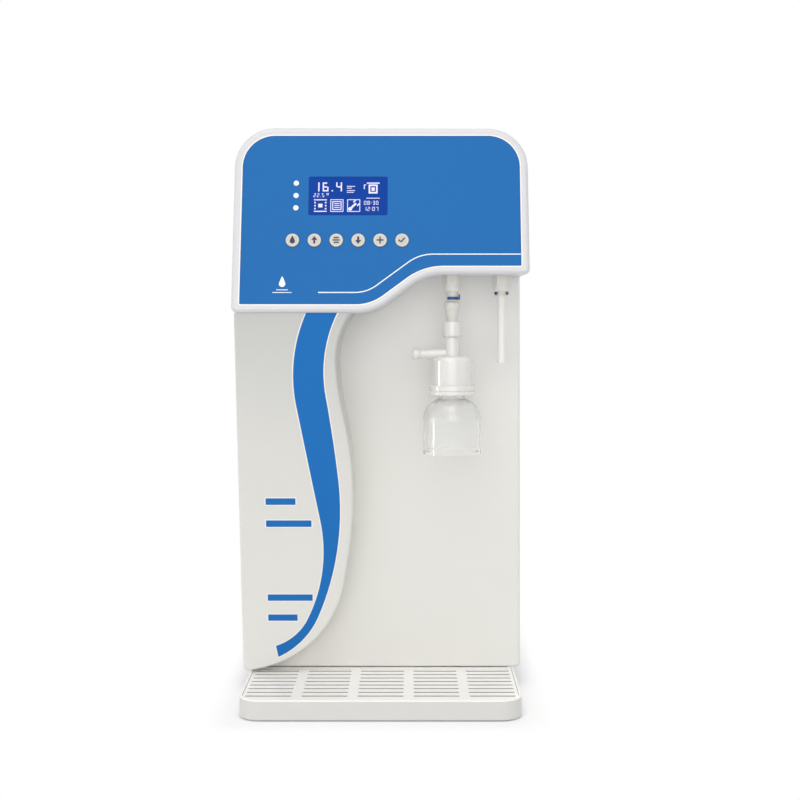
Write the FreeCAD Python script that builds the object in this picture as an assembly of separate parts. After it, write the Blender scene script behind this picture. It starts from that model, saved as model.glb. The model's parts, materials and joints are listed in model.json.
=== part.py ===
import FreeCAD
import Part
import math
import os
from FreeCAD import Vector as V

# Desktop ultrapure water system, in millimetres.
# +Z is up, the front looks along -Y, +X is to the right of someone facing it.
# The origin is on the bench, under the middle of the overall box.

# Overall sizes
total_height = 556.0        # bench to the top of the control head
head_width = 282.0
body_width = 277.0          # cabinet and lower body
tray_width = 264.0
tray_reach = 120.0          # drip tray's front, ahead of the front panel
cabinet_depth = 312.0       # front panel's face to rear panel's face
port_reach = 26.0           # water ports, behind the rear panel

# Clearances and allowances that many pieces share
seam = 0.3                  # gap between covers
fit = 0.05                  # round pieces that slide or turn in each other
hole_clearance = 0.1
past = 1.0                  # cutters run this far past the face that they open
stock = 20.0                # solids start this far ahead of a sloping face before it is cut
root = 0.5                  # a boss or stem runs this far into the wall that carries it
touch = 0.02                # edges this close to a face lie on it

# Cabinet
foot_height = 8.0
foot_radius = 12.0
foot_inset = 30.0           # from the cabinet's corners
foot_chamfer = 1.0
sheet = 2.0                 # folded steel
cover_wall = 2.5            # moulded covers
front_wall = 3.0            # moulded front parts
body_bottom = 20.5          # underside of the covers
panel_return = 18.0         # depth of the front panel's side walls
roof_drop = 2.5             # the cabinet's roof lies this far under the head's top
roof_corner = 36.5
split_drop = 48.5           # the top cover meets the side covers this far under the roof
pan_inset = 12.5            # base pan's walls, in from the covers
panel_edge = 3.0            # rounding of the front panel's edges
foot_corner = 4.0           # lower corners of the front panel
lap = 12.0                  # lap joints and screw flanges
screw_radius = 1.5
screw_head_radius = 3.2
screw_head_height = 2.0
screw_length = 6.0
screw_rows = 4
screw_low = 60.0            # lowest row of screws
screw_drop = 63.5           # highest row, under the roof
screw_head_round = 0.8
cross_half = 1.6            # cross recess in the screw heads
cross_width = 0.8
cross_depth = 1.0
slot_height = 3.0
slot_pitch = 7.0
slot_length = 62.0
rear_slots = 10
rear_slots_drop = 53.5      # highest vent, under the roof
rear_slots_x = 66.0
side_slots = 8
side_slots_drop = 83.5
side_slots_y = 155.0        # middle of the side vents, behind the front panel
window_drop = 24.0          # opening in the front panel behind the head, under the head's top
window_height = 102.0
window_inset = 19.0         # from the head's sides

# Control head
nose_drop = 179.0           # lower edge of the head's left part, under its top
notch_rise = 36.5           # the right part's lower edge is this much higher
nose_reach = 97.0           # lower edge, ahead of the front panel
face_tilt = 11.86           # the face leans back by this angle
wave_slope = 36.4           # slope of the step in the lower edge
wave_side = 123.0           # middle of the step, from the head's right side
wave_radius = 50.0
head_corner = 38.5
head_low_left = 6.0
head_low_right = 5.0
head_edge = 4.0             # rounding round the face
head_flange = 12.0          # flange against the front panel, inside the head
flange_corner = 1.0
bezel = 8.0                 # white border round the blue panel
overlay_corner = 30.5
overlay_small_corner = 1.2
overlay_thickness = 1.2
overlay_sink = 0.3          # overlay's face under the bezel's face
overlay_gap = 0.15
display_side = 109.4        # middle of the display window, from the head's left side
display_drop = 67.0         # and under its top
display_width = 75.0
display_height = 38.0
display_corner = 1.5
display_gap = 0.2
module_depth = 7.0
module_border = 4.0
light_count = 3
light_side = 59.7
light_drop = 54.6
light_pitch = 12.0
light_radius = 2.55
light_length = 8.0
light_proud = 0.25
light_flange = 1.0
button_side = 57.0          # first button, from the head's left side
button_pitch = 20.8
button_count = 6
button_drop = 110.0
button_radius = 6.4
button_proud = 1.3
button_gap = 0.25
button_travel = 1.0          # room behind the button for its stroke
button_flange = 1.3
button_stem = 6.0
button_play = 0.1           # between the flange and the wall
button_round = 0.5
switch_gap = 0.1
board_depth = 13.0          # circuit board, behind the face
board_thickness = 1.6
board_half_width = 72.0
board_drop = 36.0           # board's upper edge, under the head's top
board_height = 88.0
board_corner = 1.0
plug_offsets = [-30.0, 22.0]  # cable plugs on the board's back, from its middle
plug_rise = 40.0
plug_radius = 5.0
plug_length = 9.0
boss_radius = 3.5
boss_inset = 6.0
switch_half = 3.0

# Wave column on the front's left
column_lip = 4.0            # the head's edge stands this far ahead of the column
column_low_reach = 18.0     # column's face, ahead of the front panel, at its foot
column_foot_gap = 0.6       # column's foot, above the covers' underside
column_edge = 2.2
column_corner = 3.0
# The column's right edge: tangent arcs through (distance from the left side, share of height)
wave_top = 110.0
wave_heading = -124.8
wave_points = [(95.6, 0.860), (102.4, 0.718), (109.3, 0.416), (100.8, 0.248), (0.0, 0.0)]
inlay_depth = 0.8
inlay_proud = 0.15
swoosh_left_top = 68.2
swoosh_left_heading = -114.4
swoosh_left = [(57.4, 0.750), (78.7, 0.434), (64.9, 0.151), (33.0, 0.0735)]
swoosh_right_top = 97.5
swoosh_right_heading = -116.6
swoosh_right = [(85.6, 0.777), (96.6, 0.552), (75.4, 0.158), (35.3, 0.041)]
bar_left = 26.0
bar_height = 6.5
bar_corner = 0.4
bars = [(29.0, 0.487), (44.2, 0.425), (44.2, 0.214), (29.0, 0.156)]

# Drip tray
tray_bottom = 1.5
tray_top = 19.8
tray_corner = 21.0
tray_rear_corner = 3.0
tray_least_corner = 0.5
tray_wall = 2.4
tray_floor = 6.0
tray_floor_thickness = 2.0
tray_under_panel = 3.0      # the tray runs this far behind the front panel's face
tray_gap = 2.0
tray_edge = 1.2
grille_sink = 0.7
grille_thickness = 2.2
grille_gap = 0.35
grille_ledge = 2.0
slot_groups = 5
group_margin = 1.0          # between the slot groups and the tray's sides
group_bar = 8.8             # bar between two groups
slot_rows = 8
row_first = 11.5            # first row, ahead of the front panel
row_last = 17.5             # last row, behind the tray's front
grille_slot = 3.8
tongue_half = 10.0
tongue_x = 60.0
tongue_reach = 45.0
tongue_low = 2.4
tongue_gap = 0.6
pad_radius = 6.0

# Outlets under the head
outlet_reach = 53.0         # outlets' axes, ahead of the front panel
tube_side = 24.7            # plain outlet, from the head's right side
outlet_pitch = 48.0
outlet_hex = 9.6            # half across the hexagon's corners
outlet_hex_height = 8.6
outlet_taper = 7.0
outlet_straight = 4.6       # cylindrical part above the taper
outlet_body_radius = 8.2
outlet_mid_radius = 7.3
outlet_rings = 2            # spacer rings under the filter's outlet
ring_radius = 6.2
ring_pitch = 2.4
ring_groove = 0.5
ring_groove_height = 1.0
outlet_shank = 7.0
outlet_shank_height = 17.0
locknut_height = 5.0
locknut_corner = 11.0
collet_gap = 3.2            # room for the clip between body and collet
collet_flange = 1.4
collet_sleeve = 8.0
collet_outer = 5.1
clip_thickness = 2.6
clip_outer = 7.0
clip_tab = 0.7              # on the filter's outlet
clip_long_tab = 2.8         # on the plain outlet, whose body is wider at its end
clip_tab_half = 3.0
clip_tab_root = 1.2
clip_grip = 1.2             # thickness of the upturned end
clip_lift = 2.5
pipe_radius = 4.0           # 8 mm tube and stems
pipe_bore = 2.9
pipe_seat = 14.0            # how far a tube goes into an outlet
pipe_end_gap = 1.0          # between a tube's end and its stop
tube_hang = 64.3            # tube's end, under the collet

# Capsule filter on the left outlet
stem_gap = 0.4              # between the collet and the stem
stem_bulge = 7.75
stem_bulge_chamfer = 1.5
stem_bulge_height = 7.0
stem_rib = 7.15
stem_rib_height = 8.2
stem_rib_count = 4
stem_rib_step = 0.2         # each rib is this much smaller than the one above
stem_rib_groove = 0.35
stem_rib_share = 0.55       # share of a pitch that the rib takes
stem_seat_gap = 0.5
stem_neck = 5.4
stem_neck_height = 3.8
nut_radius = 9.5
nut_height = 15.8
nut_chamfer = 1.9
nut_top_chamfer = 0.8
capsule_neck = 7.3
capsule_neck_drop = 17.5
capsule_neck_in_nut = 8.0
thread_gap = 0.1
neck_gap = 0.2
capsule_radius = 19.7
capsule_dome = 4.5
crown_radius = 14.2         # where the dome levels off
crown_drop = 0.4
shoulder_radius = 18.1
shoulder_drop = 1.8
capsule_draft = 0.4
capsule_body = 24.0
flange_radius = 22.4
flange_height = 9.5
flange_chamfer = 0.8
flange_groove_rise = 4.3
flange_groove_half = 0.5
flange_groove = 0.7
boss_neck = 8.0
boss_neck_height = 8.0
nozzle_radius = 3.1
nozzle_drop = 25.0
nozzle_root = 0.5
nozzle_wall = 1.2
barb_count = 3
barb_rise = 0.7
barb_lip = 0.4
barb_share = 0.6            # share of a pitch that the barb's cone takes
vent_radius = 4.3
vent_collar = 5.1
vent_collar_length = 17.0
vent_rise = 1.8             # vent branch, above the capsule's shoulder
vent_root = 2.2
vent_reach = 31.0
vent_cap_radius = 5.6
vent_cap_length = 8.2
vent_cap_mouth = 4.5
vent_cap_taper = 2.4
vent_cap_round = 3.4
bell_radius = 27.8
bell_wall = 1.8
bell_neck = 12.4
bell_gap = 0.3              # bell's top, under the capsule's flange
bell_fit = 0.1              # bell's hub round the capsule's boss
bell_height = 56.5
bell_collar = 3.0
bell_shoulder = 19.95
bell_bead = 0.6
bell_bead_height = 3.0

# Water treatment inside
partition_x = 9.0           # middle of the partition plate
partition_drop = 113.5      # plate's upper edge, under the roof
line_hole_gap = 3.0
cartridge_count = 3
cartridge_front = 31.0      # first cartridge head, behind the front panel
cartridge_back = 35.0       # last cartridge head, ahead of the rear panel
cartridge_spacing = 9.0     # between the heads
cartridge_inset = 3.0       # cartridges' sides, inside their heads' sides
cartridge_bay = 26.0        # between the partition and the heads
cartridge_bottom = 72.0
cartridge_headroom = 171.5  # above the cartridges, under the roof
cartridge_round = 12.0
cartridge_neck = 20.0
cartridge_neck_height = 12.0
cartridge_head_height = 44.0
cartridge_head_gap = 2.0
cartridge_head_corner = 10.0
cartridge_port_rise = 30.8
cartridge_port_side = 20.0  # ports, beside the head's axis
bracket = 6.0
bracket_half = 12.0
ro_side = 46.5              # membrane's axis, from the cabinet's left side
ro_radius = 29.0
ro_cap_radius = 33.0
ro_bottom = 104.0
ro_length = 290.0
ro_cap_height = 28.0
uv_gap = 6.0                # lamp's clips, from the partition
uv_radius = 18.0
uv_cap_radius = 21.0
uv_cap_height = 16.0
uv_length = 280.0
vessel_round = 6.0
vessel_cap_round = 2.0
vessel_back = 53.0          # membrane and lamp axes, ahead of the rear panel's face
clip_wall = 4.0
clip_height = 16.0
clip_gap = 0.1
clip_mouth = 0.75           # half the clip's mouth, as a share of the vessel's radius
clip_foot_half = 10.0
clip_shares = [0.15, 0.8]   # clips' heights, as shares of the vessel's length
pump_side = 68.5            # pump's axis, from the cabinet's left side
pump_z = 56.0
motor_radius = 29.0
motor_length = 80.0
motor_wall = 2.0
motor_end = 4.0
motor_front = 129.0         # motor's front, behind the front panel
shaft_radius = 2.5
shaft_blind = 2.0           # closed end of the motor's bore
shaft_end_gap = 0.5
armature_radius = 21.0
armature_start = 14.0
armature_length = 48.0
commutator_radius = 7.0
commutator_gap = 1.0
commutator_length = 9.0
cam_radius = 12.0
cam_length = 14.0
cam_gap = 6.0               # between the cam and the chamber's end
shaft_stub = 4.0            # shaft, ahead of the cam
cam_offset = 2.0
pump_half = 32.0
pump_length = 64.0
pump_corner = 6.0
pump_chamber = 17.0
chamber_length = 28.0
pump_bearing = 10.0         # wall between the chamber and the motor
cradle_inset = 10.0         # from the motor's ends
cradle_plate = 4.0
cradle_gap = 0.2
saddle_half = 20.0
saddle_inset = 6.0
saddle_drop = 10.0          # under the motor's axis
pump_foot_inset = 8.0
bridge_half = 16.0
bridge_lap = 8.0
supply_width = 50.0
supply_length = 130.0
supply_height = 140.0
supply_bottom = 260.0
supply_slots = 8
supply_slot_first = 20.0
supply_slot_pitch = 13.0
supply_slot_height = 5.0
supply_slot_inset = 15.0
supply_slot_depth = 1.5
supply_front = 40.0
valve_z = 172.0
valve_half = 13.0
valve_height = 22.0
valve_coil = 12.0
valve_coil_height = 30.0
valve_count = 3
valve_pitch = 50.0
valve_first = 59.0
valve_side = 29.0           # valves' axes, from the partition
valve_corner = 2.0
valve_nut = 6.0
valve_nut_height = 4.0
valve_loop = 40.0           # the pump's line crosses this far under the valves
line_radius = 3.2           # 6.4 mm lines
line_bore = 2.2
line_bend = 11.0
line_tight_bend = 10.0
line_gap = 4.0              # plain outlet's line, over the conductivity cell's probe
line_side = 50.0            # and from the cabinet's right side
cell_radius = 8.0
cell_length = 26.0
cell_rise = 48.0            # above the cartridge heads
probe_radius = 5.0
probe_height = 16.0
probe_root = 2.0

# Rear ports and mains inlet
port_count = 3
port_pitch = 40.0
port_z = 45.0
port_radius = 8.5
port_hex = 9.8
port_hex_height = 7.0
port_body = 22.0
port_shank = 7.0
port_inside = 18.0
port_nut = 10.5
port_nut_height = 5.0
port_seat = 3.22
port_seat_length = 9.0
port_bore = 2.2
port_collet_outer = 4.7
port_collet_depth = 8.0
port_collet_flange = 6.2
port_collet_thickness = 2.2
port_collet_gap = 0.15      # collet's bore, round the tube's seat
port_pocket_room = 1.0
inlet_side = 50.5           # inlet's middle, from the cabinet's left side
inlet_z = 62.0
inlet_flange_half_width = 17.0
inlet_flange_half_height = 31.0
inlet_flange = 2.0
inlet_corner = 3.0
inlet_half_width = 14.0
inlet_half_height = 28.0
inlet_inside = 26.0
socket_half_width = 12.4
socket_half_height = 8.6
socket_depth = 16.5
socket_drop = 14.0          # socket's middle, under the inlet's middle
socket_corner = 1.0
socket_chamfer = 5.0
pin_half = 2.0
pin_thickness = 1.0
pin_length = 12.0
pin_tail = 9.0
pin_spacing = 7.0
pin_drop = 1.5              # outer pins, under the socket's middle
pin_rise = 2.5              # middle pin, above it
rocker_rise = 14.0          # rocker's pivot, above the inlet's middle
rocker_half_width = 9.0
rocker_half_height = 6.5
rocker_throw = 20.0
rocker_pivot = 1.6
rocker_pivot_depth = 4.0
rocker_gap = 0.6
rocker_end_gap = 1.2
rocker_well = 12.0
rocker_crest = 1.0          # rocker's ends, ahead of the inlet's face
rocker_hollow = 0.4
rocker_back = 4.0
rocker_keel = 3.0
rocker_axle = 1.6           # axle's ends, in the inlet's walls

# Places worked out from the sizes above
half_head = head_width / 2
half_body = body_width / 2
half_tray = tray_width / 2
depth = tray_reach + cabinet_depth + port_reach
front_y = -depth / 2
panel_y = front_y + tray_reach
rear_y = panel_y + cabinet_depth
rear_in = rear_y - cover_wall
cover_y = panel_y + panel_return + seam
roof_z = total_height - roof_drop
roof_split = roof_z - split_drop
nose_y = panel_y - nose_reach
nose_z = total_height - nose_drop
notch_z = nose_z + notch_rise
wave_x = half_head - wave_side
tilt = math.radians(face_tilt)
face_in = V(0, math.cos(tilt), -math.sin(tilt))
window_half = half_head - window_inset
window_high = total_height - window_drop
window_low = window_high - window_height
display_x = -half_head + display_side
display_z = total_height - display_drop
light_x = -half_head + light_side
light_top = total_height - light_drop
button_first_x = -half_head + button_side
button_z = total_height - button_drop
board_x = button_first_x + button_pitch * (button_count - 1) / 2
board_high = total_height - board_drop
board_low = board_high - board_height
column_top_reach = nose_reach - column_lip
column_foot = body_bottom + column_foot_gap
column_height = nose_z - column_foot
column_lean = math.atan((column_top_reach - column_low_reach) / column_height)
pan_floor = foot_height + sheet
pan_half = half_body - pan_inset
tray_back = panel_y + tray_under_panel
pan_front = tray_back + tray_gap
grille_top = tray_top - grille_sink
grille_low = grille_top - grille_thickness
group_pitch = (tray_width - 2 * group_margin) / slot_groups
group_slot = group_pitch - group_bar
row_pitch = (tray_reach - row_first - row_last) / (slot_rows - 1)
FAR = 2 * depth

outlet_y = panel_y - outlet_reach
tube_x = half_head - tube_side
filter_x = tube_x - outlet_pitch
shank_top = notch_z + outlet_shank_height
hex_low = notch_z - outlet_hex_height
taper_low = hex_low - outlet_taper
filter_outlet_low = taper_low - outlet_rings * ring_pitch
outlets = [(filter_x, filter_outlet_low), (tube_x, taper_low)]
seat_rise = collet_sleeve + pipe_seat
pipe_rise = seat_rise - pipe_end_gap
collet_drop = collet_gap + collet_flange
tube_top = taper_low + pipe_rise
tube_end = taper_low - collet_drop - tube_hang

bulge_top = filter_outlet_low - collet_drop - stem_gap
rib_top = bulge_top - stem_bulge_height
neck_top = rib_top - stem_rib_height
nut_top = neck_top - stem_neck_height
nut_low = nut_top - nut_height
capsule_top = nut_low + capsule_neck_in_nut
dome_top = nut_low - capsule_neck_drop
vent_z = dome_top + vent_rise
body_low = dome_top - capsule_dome - capsule_body
flange_low = body_low - flange_height
boss_low = flange_low - boss_neck_height
nozzle_tip = flange_low - nozzle_drop
bell_top = flange_low - bell_gap
bell_low = bell_top - bell_height
bell_side_top = bell_top - bell_collar - bell_shoulder

partition_left = partition_x - sheet / 2
partition_right = partition_x + sheet / 2
partition_top = roof_z - partition_drop
cartridge_room = cabinet_depth - cartridge_front - cartridge_back - (cartridge_count - 1) * cartridge_spacing
cartridge_head = cartridge_room / cartridge_count / 2
cartridge_radius = cartridge_head - cartridge_inset
cartridge_pitch = 2 * cartridge_head + cartridge_spacing
cartridge_x = partition_right + cartridge_bay + cartridge_head
cartridge_top = roof_z - cartridge_headroom
cartridge_ys = [panel_y + cartridge_front + cartridge_head + cartridge_pitch * index
                for index in range(cartridge_count)]
head_low = cartridge_top + cartridge_head_gap
head_top = head_low + cartridge_head_height
head_port_z = head_low + cartridge_port_rise
cell_z = head_top + cell_rise
vessel_y = rear_y - vessel_back
ro_x = -half_body + ro_side
uv_x = partition_left - uv_gap - uv_radius - clip_wall
pump_x = -half_body + pump_side
motor_y = panel_y + motor_front
pump_front = motor_y - pump_length
supply_x = partition_left - supply_width
supply_y = panel_y + supply_front
valve_x = partition_left - valve_side
valve_ys = [panel_y + valve_first + valve_pitch * index for index in range(valve_count)]
crossing_ys = [valve_ys[0], valve_ys[-1]]

port_xs = [partition_right + cartridge_bay / 2 + port_pitch * index for index in range(port_count)]
port_out = rear_y + port_body
port_pocket = port_out - port_collet_depth - port_pocket_room
port_seat_end = port_pocket - port_seat_length
line_start = rear_in - port_inside
inlet_x = -half_body + inlet_side
inlet_front = rear_y + inlet_flange
socket_z = inlet_z - socket_drop
rocker_pivot_y = inlet_front - rocker_pivot_depth
rocker_z = inlet_z + rocker_rise


# --- plain helpers ---

def box(x0, x1, y0, y1, z0, z1):
    return Part.makeBox(x1 - x0, y1 - y0, z1 - z0, V(x0, y0, z0))


def span(side, near, far):
    # The X range between two distances from the middle, on one side.
    return sorted((side * near, side * far))


def rod(radius, start, end):
    along = end - start
    return Part.makeCylinder(radius, along.Length, start, along)


def pipe(outer, inner, start, end):
    return rod(outer, start, end).cut(rod(inner, start, end))


def taper(start_radius, end_radius, start, end):
    along = end - start
    return Part.makeCone(start_radius, end_radius, along.Length, start, along)


def joined(shapes):
    result = shapes[0]
    for shape in shapes[1:]:
        result = result.fuse(shape)
    return result.removeSplitter()


def without(shape, cutters):
    for cutter in cutters:
        shape = shape.cut(cutter)
    return shape


def edges_where(shape, test):
    return [edge for edge in shape.Edges if test(edge)]


def hexagon_points(corner, first_angle):
    angles = [math.radians(60 * index + first_angle) for index in range(6)]
    points = [(corner * math.cos(angle), corner * math.sin(angle)) for angle in angles]
    return points + points[:1]


def hexagon(corner, x, y, z0, z1, first_angle=30):
    points = [V(x + u, y + v, z0) for u, v in hexagon_points(corner, first_angle)]
    return Part.Face(Part.makePolygon(points)).extrude(V(0, 0, z1 - z0))


def hexagon_y(corner, x, z, y0, y1):
    points = [V(x + u, y0, z + v) for u, v in hexagon_points(corner, 0)]
    return Part.Face(Part.makePolygon(points)).extrude(V(0, y1 - y0, 0))


def turned(profile, x, y):
    # A solid of revolution about a vertical axis, from (radius, height) points.
    points = [V(radius, 0, height) for radius, height in profile]
    wire = Part.makePolygon(points + [points[0]])
    solid = Part.Face(wire).revolve(V(0, 0, 0), V(0, 0, 1), 360)
    solid.translate(V(x, y, 0))
    return solid


def on_xz(u, v):
    return V(u, 0, v)


def on_xy(u, v):
    return V(u, v, 0)


def rounded_edges(corners, place):
    # A closed outline from (u, v, radius) corners, each rounded by a tangent arc.
    count = len(corners)
    arcs = []
    for index, (u, v, radius) in enumerate(corners):
        before = corners[index - 1]
        after = corners[(index + 1) % count]
        to_before = V(before[0] - u, before[1] - v, 0).normalize()
        to_after = V(after[0] - u, after[1] - v, 0).normalize()
        half = to_before.getAngle(to_after) / 2
        reach = radius / math.tan(half)
        corner = V(u, v, 0)
        inward = (to_before + to_after).normalize()
        start = corner + to_before * reach
        middle = corner + inward * (radius / math.sin(half) - radius)
        end = corner + to_after * reach
        arcs.append((start, middle, end, radius))
    edges = []
    for index, (start, middle, end, radius) in enumerate(arcs):
        following = arcs[(index + 1) % count][0]
        if radius > 0:
            arc = Part.Arc(place(start.x, start.y), place(middle.x, middle.y), place(end.x, end.y))
            edges.append(arc.toShape())
        if (following - end).Length > touch:
            run = Part.LineSegment(place(end.x, end.y), place(following.x, following.y))
            edges.append(run.toShape())
    return edges


def rounded_face(corners, place):
    return Part.Face(Part.Wire(rounded_edges(corners, place)))


def upright_face(x0, x1, z0, z1, corner):
    corners = [(x0, z0, corner), (x1, z0, corner), (x1, z1, corner), (x0, z1, corner)]
    return rounded_face(corners, on_xz)


def rounded_slab(x0, x1, y0, y1, z0, z1, front_corner, rear_corner):
    corners = [(x0, y0, front_corner), (x1, y0, front_corner), (x1, y1, rear_corner), (x0, y1, rear_corner)]
    face = rounded_face(corners, on_xy)
    face.translate(V(0, 0, z0))
    return face.extrude(V(0, 0, z1 - z0))


def prism(face, y0, y1):
    moved = face.copy()
    moved.translate(V(0, y0, 0))
    return moved.extrude(V(0, y1 - y0, 0))


def runs(points):
    return [Part.LineSegment(here, there).toShape() for here, there in zip(points, points[1:])]


def arc_chain(start, heading, points):
    # Tangent arcs in the XZ plane, from a start point and heading through the points.
    edges = []
    here = start
    angle = math.radians(heading)
    for there in points:
        across = there[0] - here[0]
        up = there[1] - here[1]
        chord = math.atan2(up, across)
        turn = (chord - angle + math.pi) % (2 * math.pi) - math.pi
        bulge = math.hypot(across, up) / 2 * math.tan(turn / 2)
        middle_x = (here[0] + there[0]) / 2 + math.sin(chord) * bulge
        middle_z = (here[1] + there[1]) / 2 - math.cos(chord) * bulge
        arc = Part.Arc(on_xz(*here), on_xz(middle_x, middle_z), on_xz(*there))
        edges.append(arc.toShape())
        angle = chord + turn
        here = there
    return edges


def line_route(points, bend):
    # Straight runs joined by tangent arcs.
    edges = []
    here = points[0]
    for index in range(1, len(points) - 1):
        corner = points[index]
        back = (points[index - 1] - corner).normalize()
        onward = (points[index + 1] - corner).normalize()
        half = back.getAngle(onward) / 2
        start = corner + back * (bend / math.tan(half))
        end = corner + onward * (bend / math.tan(half))
        middle = corner + (back + onward).normalize() * (bend / math.sin(half) - bend)
        edges.append(Part.LineSegment(here, start).toShape())
        edges.append(Part.Arc(start, middle, end).toShape())
        here = end
    edges.append(Part.LineSegment(here, points[-1]).toShape())
    return Part.Wire(edges)


def line(points, bend=line_bend):
    route = line_route(points, bend)
    direction = points[1] - points[0]
    sections = []
    for radius in (line_radius, line_bore):
        circle = Part.Wire(Part.Circle(points[0], direction, radius).toShape())
        sections.append(route.makePipeShell([circle], True, False))
    return sections[0].cut(sections[1])


# --- the tilted face of the head and the leaning face of the column ---

def face_y(z):
    return nose_y + (z - nose_z) * math.tan(tilt)


def face_point(x, z, inward=0.0):
    return V(x, face_y(z), z) + face_in * inward


def face_rod(radius, x, z, front, back):
    # A round piece or hole, square to the head's face.
    return rod(radius, face_point(x, z, front), face_point(x, z, back))


def column_y(z):
    return panel_y - column_top_reach + (nose_z - z) * math.tan(column_lean)


def ahead_of(y_at, angle, inward):
    # Everything in front of a leaning plane that is moved inward by a distance.
    shift = inward / math.cos(angle)
    low = -total_height
    high = 2 * total_height
    points = [V(-FAR, y_at(low) + shift, low), V(-FAR, y_at(high) + shift, high)]
    points += [V(-FAR, -FAR, high), V(-FAR, -FAR, low)]
    face = Part.Face(Part.makePolygon(points + [points[0]]))
    return face.extrude(V(2 * FAR, 0, 0))


def between(face, y_at, angle, front, back):
    # The part of an outline's prism between two planes parallel to a leaning face.
    solid = prism(face, front_y - stock, rear_y)
    solid = solid.cut(ahead_of(y_at, angle, front))
    return solid.common(ahead_of(y_at, angle, back))


def middle_of(edge):
    return edge.valueAt((edge.FirstParameter + edge.LastParameter) / 2)


def head_face(inset, top_corner, left_corner, right_corner):
    slope = math.radians(wave_slope)
    shift = inset * math.tan(slope / 2)
    half_step = notch_rise / math.tan(slope) / 2
    half = half_head - inset
    corners = [
        (-half, nose_z + inset, left_corner),
        (wave_x - half_step - shift, nose_z + inset, wave_radius - inset),
        (wave_x + half_step - shift, notch_z + inset, wave_radius + inset),
        (half, notch_z + inset, right_corner),
        (half, total_height - inset, top_corner),
        (-half, total_height - inset, top_corner),
    ]
    return rounded_face(corners, on_xz)


def overlay_face(gap):
    corner = overlay_small_corner + gap
    return head_face(bezel - gap, overlay_corner + gap, corner, corner)


def display_face(grow):
    half_width = display_width / 2 + grow
    half_height = display_height / 2 * math.cos(tilt) + grow
    return upright_face(display_x - half_width, display_x + half_width, display_z - half_height,
                        display_z + half_height, display_corner + grow)


def button_places():
    return [(button_first_x + button_pitch * index, button_z) for index in range(button_count)]


def light_places():
    return [(light_x, light_top - light_pitch * index) for index in range(light_count)]


def boss_places():
    across = board_half_width - boss_inset
    heights = (board_low + boss_inset, board_high - boss_inset)
    return [(board_x + side * across, z) for side in (-1, 1) for z in heights]


# --- cabinet ---

def base_pan():
    outer = box(-pan_half, pan_half, pan_front, rear_in, foot_height, body_bottom + sheet)
    inner = box(-pan_half + sheet, pan_half - sheet, pan_front + sheet, rear_in - sheet,
                pan_floor, body_bottom + 2 * sheet)
    rim_half = half_body - cover_wall - seam
    rim = box(-rim_half, rim_half, cover_y, rear_in, body_bottom, body_bottom + sheet)
    pieces = [joined([outer, rim]).cut(inner)]
    back = pan_front + sheet
    tab_low = body_bottom + front_wall
    for side in (-1, 1):
        x0 = side * tongue_x - tongue_half
        x1 = side * tongue_x + tongue_half
        pieces.append(box(x0, x1, pan_front, back, tongue_low, pan_floor))
        pieces.append(box(x0, x1, tray_back - tongue_reach, back, tongue_low, tongue_low + sheet))
        tab_x = side * (pan_half - lap)
        x0 = tab_x - lap / 2
        x1 = tab_x + lap / 2
        pieces.append(box(x0, x1, panel_y + front_wall, back, tab_low, tab_low + lap))
        pieces.append(box(x0, x1, pan_front, back, body_bottom, tab_low + lap))
    return joined(pieces)


def foot_places():
    x = pan_half - foot_inset / 2
    return [(side * x, y) for y in (panel_y + foot_inset, rear_y - foot_inset) for side in (-1, 1)]


def cabinet_feet():
    profile = [(0, 0), (foot_radius - 2 * foot_chamfer, 0), (foot_radius - foot_chamfer, foot_chamfer),
               (foot_radius, foot_height), (0, foot_height)]
    return Part.makeCompound([turned(profile, x, y) for x, y in foot_places()])


def partition_plate():
    y0 = cover_y + lap
    y1 = rear_in - lap
    plate = box(partition_left, partition_right, y0, y1, pan_floor, partition_top)
    flange = box(partition_left, partition_right + lap, y0, y1, pan_floor, pan_floor + sheet)
    holes = []
    for y in crossing_ys:
        start = V(partition_left - past, y, port_z)
        end = V(partition_right + past, y, port_z)
        holes.append(rod(line_radius + line_hole_gap, start, end))
    return without(joined([plate, flange]), holes)


def arch_face(inset, low):
    half = half_body - inset
    top = roof_z - inset
    corner = roof_corner - inset
    return rounded_face([(-half, low, 0), (half, low, 0), (half, top, corner), (-half, top, corner)], on_xz)


def rear_screw_places():
    x = half_body - cover_wall - lap / 2
    pitch = (roof_z - screw_drop - screw_low) / (screw_rows - 1)
    return [(side * x, screw_low + pitch * row) for row in range(screw_rows) for side in (-1, 1)]


def rear_screw_holes():
    radius = screw_radius + hole_clearance
    back = rear_y + past
    return [rod(radius, V(x, rear_y - screw_length - past, z), V(x, back, z)) for x, z in rear_screw_places()]


def rear_panel():
    low = body_bottom + sheet + seam
    plate = prism(arch_face(cover_wall + seam, low), rear_in, rear_y)
    front = rear_in - past
    back = rear_y + past
    cutters = rear_screw_holes()
    slot_corner = slot_height / 2 - touch
    for side in (-1, 1):
        x0 = side * rear_slots_x - slot_length / 2
        for index in range(rear_slots):
            z = roof_z - rear_slots_drop - slot_pitch * index
            slot = upright_face(x0, x0 + slot_length, z, z + slot_height, slot_corner)
            cutters.append(prism(slot, front, back))
    for x in port_xs:
        cutters.append(rod(port_shank + hole_clearance, V(x, front, port_z), V(x, back, port_z)))
    half_width = inlet_half_width + hole_clearance
    half_height = inlet_half_height + hole_clearance
    cutters.append(box(inlet_x - half_width, inlet_x + half_width, front, back,
                       inlet_z - half_height, inlet_z + half_height))
    return without(plate, cutters)


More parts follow.
